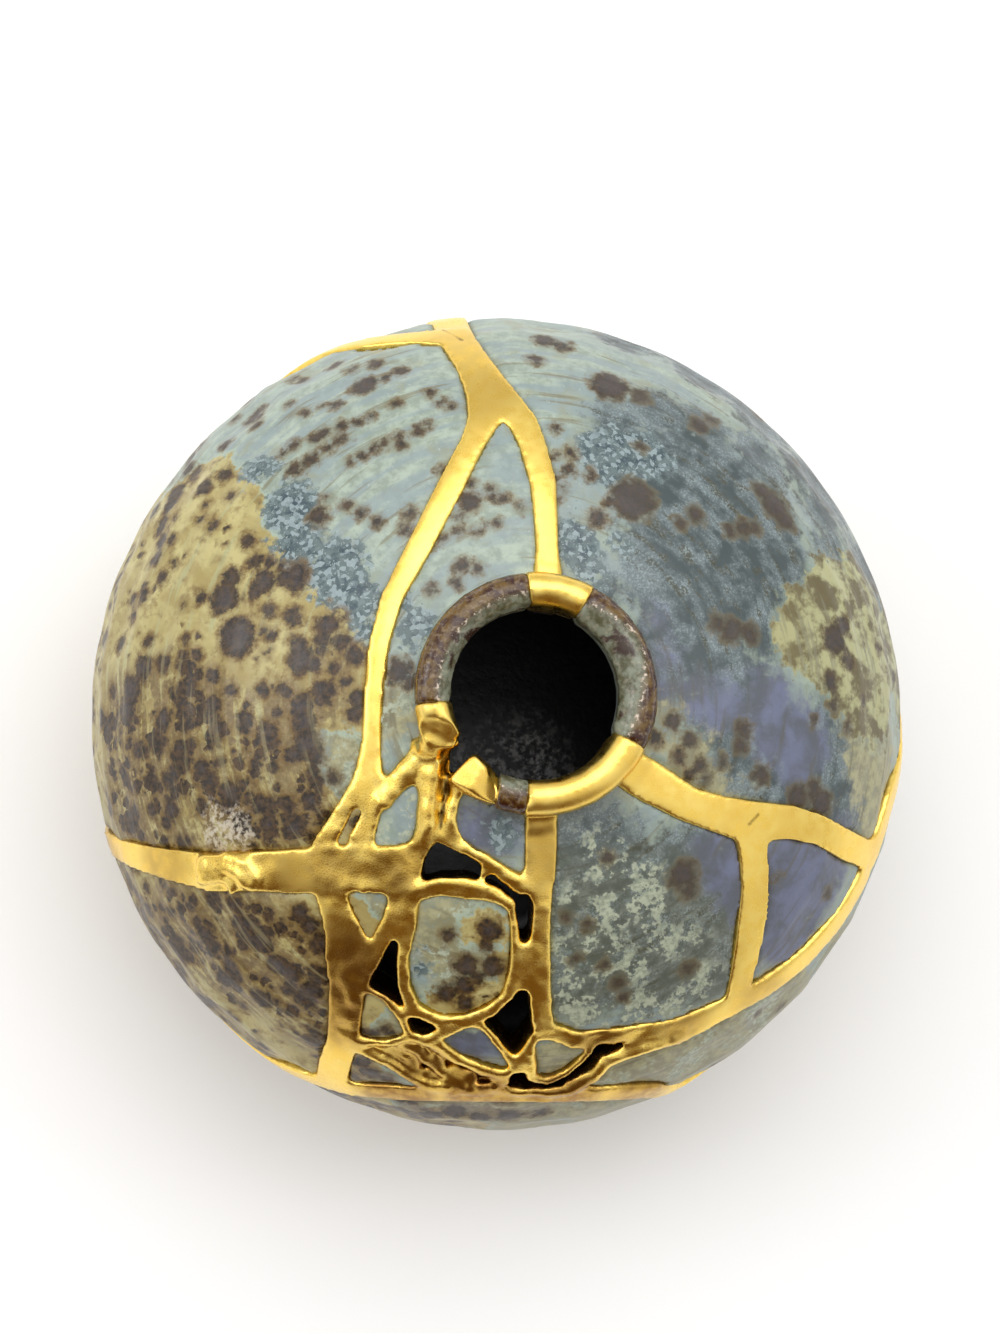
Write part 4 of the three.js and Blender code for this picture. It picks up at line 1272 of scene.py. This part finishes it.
# %% [markdown]
# On the lip the gold follows the roll, except at two lumpy places. It is cut by a few
# flat facets, one of them torn. One end is hollowed by a scoop, and the other thins out
# towards the ceramic lip. A facet is given by a place on the lip, the way it faces, its
# span and how rough it is.

# %% Shape the lip of gold
LIP_SKIN = 0.25
LIP_LUMPS = 0.12
LIP_CLOSE = (0.6, 1.2)
LUMPY_LIP = [(198, 7.0), (230, 5.0)]
FACETS = [
    ((229, 19.3, 109.7), (-0.35, 0.1, 0.93), 9.0, 0.0), ((242, 20.0, 109.6), (0.2, -0.12, 0.97), 9.0, 0.0),
    ((246, 18.5, 108.5), (0.77, 0.26, 0.58), 5.0, 0.0), ((197, 19.0, 110.2), (-0.2, -0.66, 0.72), 5.6, 0.6),
]
TORN_NOISE = (2.1, 1.3)
SCOOP, SCOOP_SIZE, SCOOP_DEPTH = (192, 21.6, 109.0), 1.3, 0.6
TAPER, TAPER_SPAN, TAPER_END = 1.0, (236, 253), 256
TAPER_STARTS, TAPER_SKIN = (104.8, 106.0), -1.5


def from_place(points, place):
    return np.linalg.norm(points - np.array(place), axis=1)


def round_lip(points, shaped, lumps):
    roll, skin = lip_section(points, LIP_SKIN)
    near = (1 - smooth_step(*LIP_CLOSE, np.abs(roll))) * smooth_step(*LIP_STARTS, points[:, 2])
    for bearing, reach in LUMPY_LIP:
        middle = by_bearing(bearing, LIP_RADIUS, LIP_HEIGHT)
        near *= smooth_step(0.7, 1.0, from_place(points, middle) / reach)
    return shaped - skin * (near * (roll - LIP_LUMPS * lumps))[:, None]


def cut_facets(points, shaped):
    torn = drift(points, *TORN_NOISE)
    for place, way, span, rough in FACETS:
        middle = np.array(by_bearing(*place))
        way = np.array(way) / np.linalg.norm(way)
        above = np.maximum((shaped - middle) @ way - rough * torn, 0)
        near = 1 - smooth_step(0.6, 1.0, from_place(points, middle) / span)
        shaped = shaped - way * (above * near)[:, None]
    return shaped


def thin_lip(points, shaped):
    roll, skin = lip_section(points, LIP_SKIN)
    press = SCOOP_DEPTH * np.exp(-((from_place(points, by_bearing(*SCOOP)) / SCOOP_SIZE) ** 2))
    shaped = shaped - skin * press[:, None]
    turn = np.degrees(np.arctan2(points[:, 1], points[:, 0])) % 360
    thin = TAPER * smooth_step(*TAPER_SPAN, turn) * (turn < TAPER_END)
    thin = thin * smooth_step(*TAPER_STARTS, points[:, 2])
    return shaped - skin * (thin * (roll > TAPER_SKIN))[:, None]


print("facets on the lip:", len(FACETS))

# %% [markdown]
# Pits and creases are pressed in along short lines in the picture, each with a width and
# a depth. Along some of them the gold is painted darker, as shade in the crease: those are marked True, for
# the gold's map.

# %% Press in the pits
PIT_STARTS = (-0.3, 0.2)
PITS = [
    ((443, 332), (462, 342), 0.5, 0.4, True), ((735, 822), (748, 824), 0.7, 0.5, False),
    ((748, 824), (757, 814), 0.5, 0.4, True), ((258, 874), (262, 886), 0.8, 1.2, False),
    ((383, 779), (384, 784), 0.7, 0.5, False), ((866, 869), (872, 872), 0.7, 0.6, False),
    ((451, 764), (446, 795), 0.8, 2.6, True), ((446, 795), (440, 826), 0.7, 2.2, True),
    ((455, 742), (448, 748), 0.7, 0.7, False), ((404, 930), (399, 945), 0.6, 0.6, False),
    ((600, 1046), (690, 1030), 0.8, 0.6, False), ((560, 1092), (490, 1093), 0.5, 0.5, False),
]


def near_line(points, start, end):
    a, b = np.array(seen(*start)), np.array(seen(*end))
    t = np.clip((points - a) @ (b - a) / ((b - a) @ (b - a)), 0, 1)
    return np.linalg.norm(points - (a + t[:, None] * (b - a)), axis=1)


def press_pits(points, shaped):
    off, out = stand_off(points)
    outer = smooth_step(*PIT_STARTS, off)
    for start, end, width, depth, _ in PITS:
        press = depth * np.exp(-((near_line(points, start, end) / width) ** 2))
        shaped = shaped - out * (outer * press)[:, None]
    return shaped


print("pits:", len(PITS), "with grime:", sum(pit[-1] for pit in PITS))

# %% [markdown]
# All of this is worked out on the points at once and put back into the mesh. Smoothing
# then joins it, with more rounds on the plain ribbons than in the lattice. The part of
# the seam that is buried in the wall is never looked at closely, so a Decimate modifier
# with a vertex group leaves fewer points there.

# %% Shape and thin the seam
PLAIN_ROUNDS = 3
LARGE_LUMPS, SMALL_LUMPS = (4.2, 3.1), (1.9, 7.7)
BURIED = -1.6
THIN_RATIO = 0.55


def shape_seam(piece):
    mesh = piece.data
    points = get_points(mesh)
    lumps = drift(points, *LARGE_LUMPS) + 0.5 * drift(points, *SMALL_LUMPS)
    shaped = lay_top(points, read_vectors(mesh, "normal"), lumps)
    shaped = round_lip(points, shaped, lumps)
    for change in (press_pits, cut_facets, thin_lip):
        shaped = change(points, shaped)
    set_points(mesh, shaped)
    bm = bmesh.new()
    bm.from_mesh(mesh)
    bm.verts.ensure_lookup_table()
    plain = [bm.verts[i] for i in np.flatnonzero(hand_built(points) < 0.5)]
    smooth(bm, ROUNDS)
    smooth(bm, PLAIN_ROUNDS, plain)
    bm.to_mesh(mesh)
    bm.free()


def thin_out(piece):
    off, _ = stand_off(get_points(piece.data))
    buried = piece.vertex_groups.new(name="buried")
    buried.add(np.flatnonzero(off < BURIED).tolist(), 1.0, "REPLACE")
    thin = piece.modifiers.new("thin", "DECIMATE")
    thin.ratio = THIN_RATIO
    thin.vertex_group = "buried"
    keep_result(piece)
    piece.vertex_groups.clear()


shape_seam(seam)
thin_out(seam)
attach(seam, "root")
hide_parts("gold_seams")
print("gold triangles:", sum(len(p.vertices) - 2 for p in seam.data.polygons))

# %% [markdown]
# The gold has its own map: how deep it lies in the wall, where it was built up by hand,
# where it has aged to brown, where painted shade browns it on the low seam and in the
# hollow, and where painted shade darkens the creases along the pits. A place of age and
# painted shade is given by x and y in the picture, a radius and how strong it is.

# %% Store the gold's map
# Aged tarnish, and painted shade on the low seam and in the hollow, where the gold lies in shade.
AGED_AND_SHADED = [
    (350, 985, 10, 0.85), (345, 950, 7, 0.8), (347, 1025, 6, 0.7), (600, 1035, 6, 0.7),
    (680, 1022, 6, 0.6), (760, 985, 6, 0.5), (400, 1094, 9, 0.9), (480, 1095, 9, 0.9),
    (560, 1094, 9, 0.9), (640, 1091, 8, 0.8), (540, 850, 7, 0.4), (460, 370, 16, 0.3),
    (420, 1064, 7, 0.7), (400, 870, 6, 0.5), (110, 862, 9, 0.6), (165, 865, 7, 0.5),
    (290, 868, 6, 0.4), (326, 866, 6, 0.45),
]
AGED_AND_SHADED_FADES = (-3.0, 4.0)
CREASE_SHADE_SPREAD = 1.3


def map_seam(mesh):
    points = get_points(mesh)
    aged_and_shaded = np.zeros(len(points))
    for x, y, radius, strength in AGED_AND_SHADED:
        depth = radius - from_place(points, seen(x, y))
        aged_and_shaded = np.maximum(aged_and_shaded, strength * smooth_step(*AGED_AND_SHADED_FADES, depth))
    crease_shade = np.zeros(len(points))
    # Painted shade along the marked creases.
    for start, end, width, _, shaded_crease in PITS:
        if shaded_crease:
            spread = near_line(points, start, end) / (CREASE_SHADE_SPREAD * width)
            crease_shade = np.maximum(crease_shade, np.exp(-(spread**2)))
    store(mesh, "press", stand_off(points)[0])
    store(mesh, "built_up", hand_built(points))
    store(mesh, "aged_and_shaded", aged_and_shaded)
    store(mesh, "crease_shade", crease_shade)
    mesh.shade_smooth()


map_seam(seam.data)
print("aged places:", len(AGED_AND_SHADED))

# %% [markdown]
# Gold leaf over a filler is satin, not polished. Its grain is a fine bump, its
# roughness changes a little from place to place, and where it has aged it is browner.
# Painted shade makes it browner too on the low seam, in the hollow, where it lies deep
# in the wall and along the marked creases. In the lattice it is speckled, and a little shinier.

# %% Mix the gold
GOLD_BUMP, GOLD_BUMP_DEPTH = 0.25, 0.15


def gold_finish():
    finish, tree, shader, where = new_finish("satin gold")
    grain = clouds(tree, where, 0.35, 3.0, 0.6)
    brush = clouds(tree, where, 2.6, 4.0, 0.55)
    slow = clouds(tree, where, 11.0, 3.0, 0.5)
    built_up = stored(tree, "built_up")
    bright = between(tree, brush, 0.3, 0.7)
    colour = blend(tree, bright, light(250, 212, 102), light(253, 222, 120))
    warm = between(tree, slow, 0.45, 0.7, 0.0, 0.5)
    colour = blend(tree, warm, colour, light(240, 196, 90))
    speckle = times(tree, between(tree, grain, 0.5, 0.7, 0.0, 0.5), built_up)
    colour = blend(tree, speckle, colour, light(170, 122, 52))
    # Aged brown, partly painted shade on the low seam and in the hollow.
    aged_and_shaded_mix = times(tree, stored(tree, "aged_and_shaded"), between(tree, brush, 0.3, 0.7, 0.7, 1.1))
    colour = blend(tree, aged_and_shaded_mix, colour, light(158, 116, 56))
    # Painted shade: where the gold lies deep in the wall, in hollows and on the sides of openings, it is
    # browner.
    deep = between(tree, stored(tree, "press"), -0.5, -2.4, 0.0, 0.85)
    colour = blend(tree, deep, colour, light(134, 92, 40))
    # Painted shade: the gold is darkened along the marked creases.
    crease_shade = between(tree, stored(tree, "crease_shade"), 0.3, 0.8, 0.0, 0.9)
    colour = blend(tree, crease_shade, colour, light(84, 57, 25))
    gloss = between(tree, brush, 0.3, 0.7, 0.24, 0.36)
    gloss = work(tree, "MULTIPLY_ADD", built_up, -0.07, gloss)
    matte = times(tree, work(tree, "MULTIPLY_ADD", built_up, 0.9, 0.3), grain)
    height = work(tree, "MULTIPLY_ADD", times(tree, built_up, brush), 0.8, matte)
    connect(tree, shader, colour, gloss, height, GOLD_BUMP, GOLD_BUMP_DEPTH)
    shader.inputs["Metallic"].default_value = 1.0
    return finish


gold = gold_finish()
seam.data.materials.clear()
seam.data.materials.append(gold)
print("gold nodes:", len(gold.node_tree.nodes))

# %% [markdown]
# The vase stands on a plain pale floor. The light is a broad soft box overhead and a
# little behind, with a weaker one to the left and a small one to the right. A soft box
# is given by its place, the place it looks at, its size and its power, in metres and
# watts.

# %% Floor and lights
FLOOR_SIZE = 20.0
FLOOR_ROUGHNESS = 0.9
FLOOR_CLOUDS = 300.0
SOFT_BOXES = {
    "overhead": ((0.05, 0.45, 1.0), (0, 0, 0.05), (1.1, 0.8), 5.0),
    "left": ((-0.9, 0.2, 0.75), (0, 0, 0.06), (0.5, 0.5), 2.3),
    "right": ((0.75, 0.15, 0.9), (0, 0, 0.08), (0.22, 0.22), 0.5),
}


def make_floor():
    mesh = bpy.data.meshes.new("floor")
    bm = bmesh.new()
    bmesh.ops.create_grid(bm, x_segments=1, y_segments=1, size=FLOOR_SIZE)
    bm.to_mesh(mesh)
    bm.free()
    floor = bpy.data.objects.new("floor", mesh)
    scene.collection.objects.link(floor)
    finish, tree, shader, where = new_finish("pale floor")
    tone = clouds(tree, where, FLOOR_CLOUDS)
    tone = blend(tree, tone, light(252, 252, 252), light(254, 254, 254))
    tree.links.new(tone, shader.inputs["Base Color"])
    shader.inputs["Roughness"].default_value = FLOOR_ROUGHNESS
    mesh.materials.append(finish)


make_floor()
for name, (place, target, size, power) in SOFT_BOXES.items():
    lamp = bpy.data.lights.new(name, "AREA")
    lamp.shape = "RECTANGLE"
    lamp.size, lamp.size_y = size
    lamp.energy = power
    box = bpy.data.objects.new(name, lamp)
    scene.collection.objects.link(box)
    box.location = place
    box.rotation_euler = (Vector(target) - Vector(place)).to_track_quat("-Z", "Y").to_euler()

# %% [markdown]
# The surroundings are what the gold mirrors. They are bright above and a little dimmer
# towards the ground, with a brown field low at the front, which leaves the front of the
# gold brown.

# %% The surroundings
DIM_FRONT = Vector((-0.1, -0.92, 0.36)).normalized()
DIM_STARTS, DIM_FULL = 0.5, 0.93
SKY_STARTS, SKY_FULL = -0.1, 0.7
SKY_STRENGTH = 0.95

world = bpy.data.worlds.new("studio")
scene.world = world
world.use_nodes = True
tree = world.node_tree
direction = add(tree, "ShaderNodeTexCoord").outputs["Generated"]
parts = add(tree, "ShaderNodeSeparateXYZ", {0: direction})
inputs = {0: direction, 1: DIM_FRONT}
front = add(tree, "ShaderNodeVectorMath", inputs, operation="DOT_PRODUCT").outputs["Value"]
sky = between(tree, parts.outputs["Z"], SKY_STARTS, SKY_FULL)
sky = blend(tree, sky, light(222, 220, 216), light(254, 254, 255))
sky = blend(tree, between(tree, front, DIM_STARTS, DIM_FULL), sky, light(116, 88, 52))
background = tree.nodes["Background"]
tree.links.new(sky, background.inputs["Color"])
background.inputs["Strength"].default_value = SKY_STRENGTH
scene.view_settings.view_transform = "Standard"
print("surroundings at strength", SKY_STRENGTH)
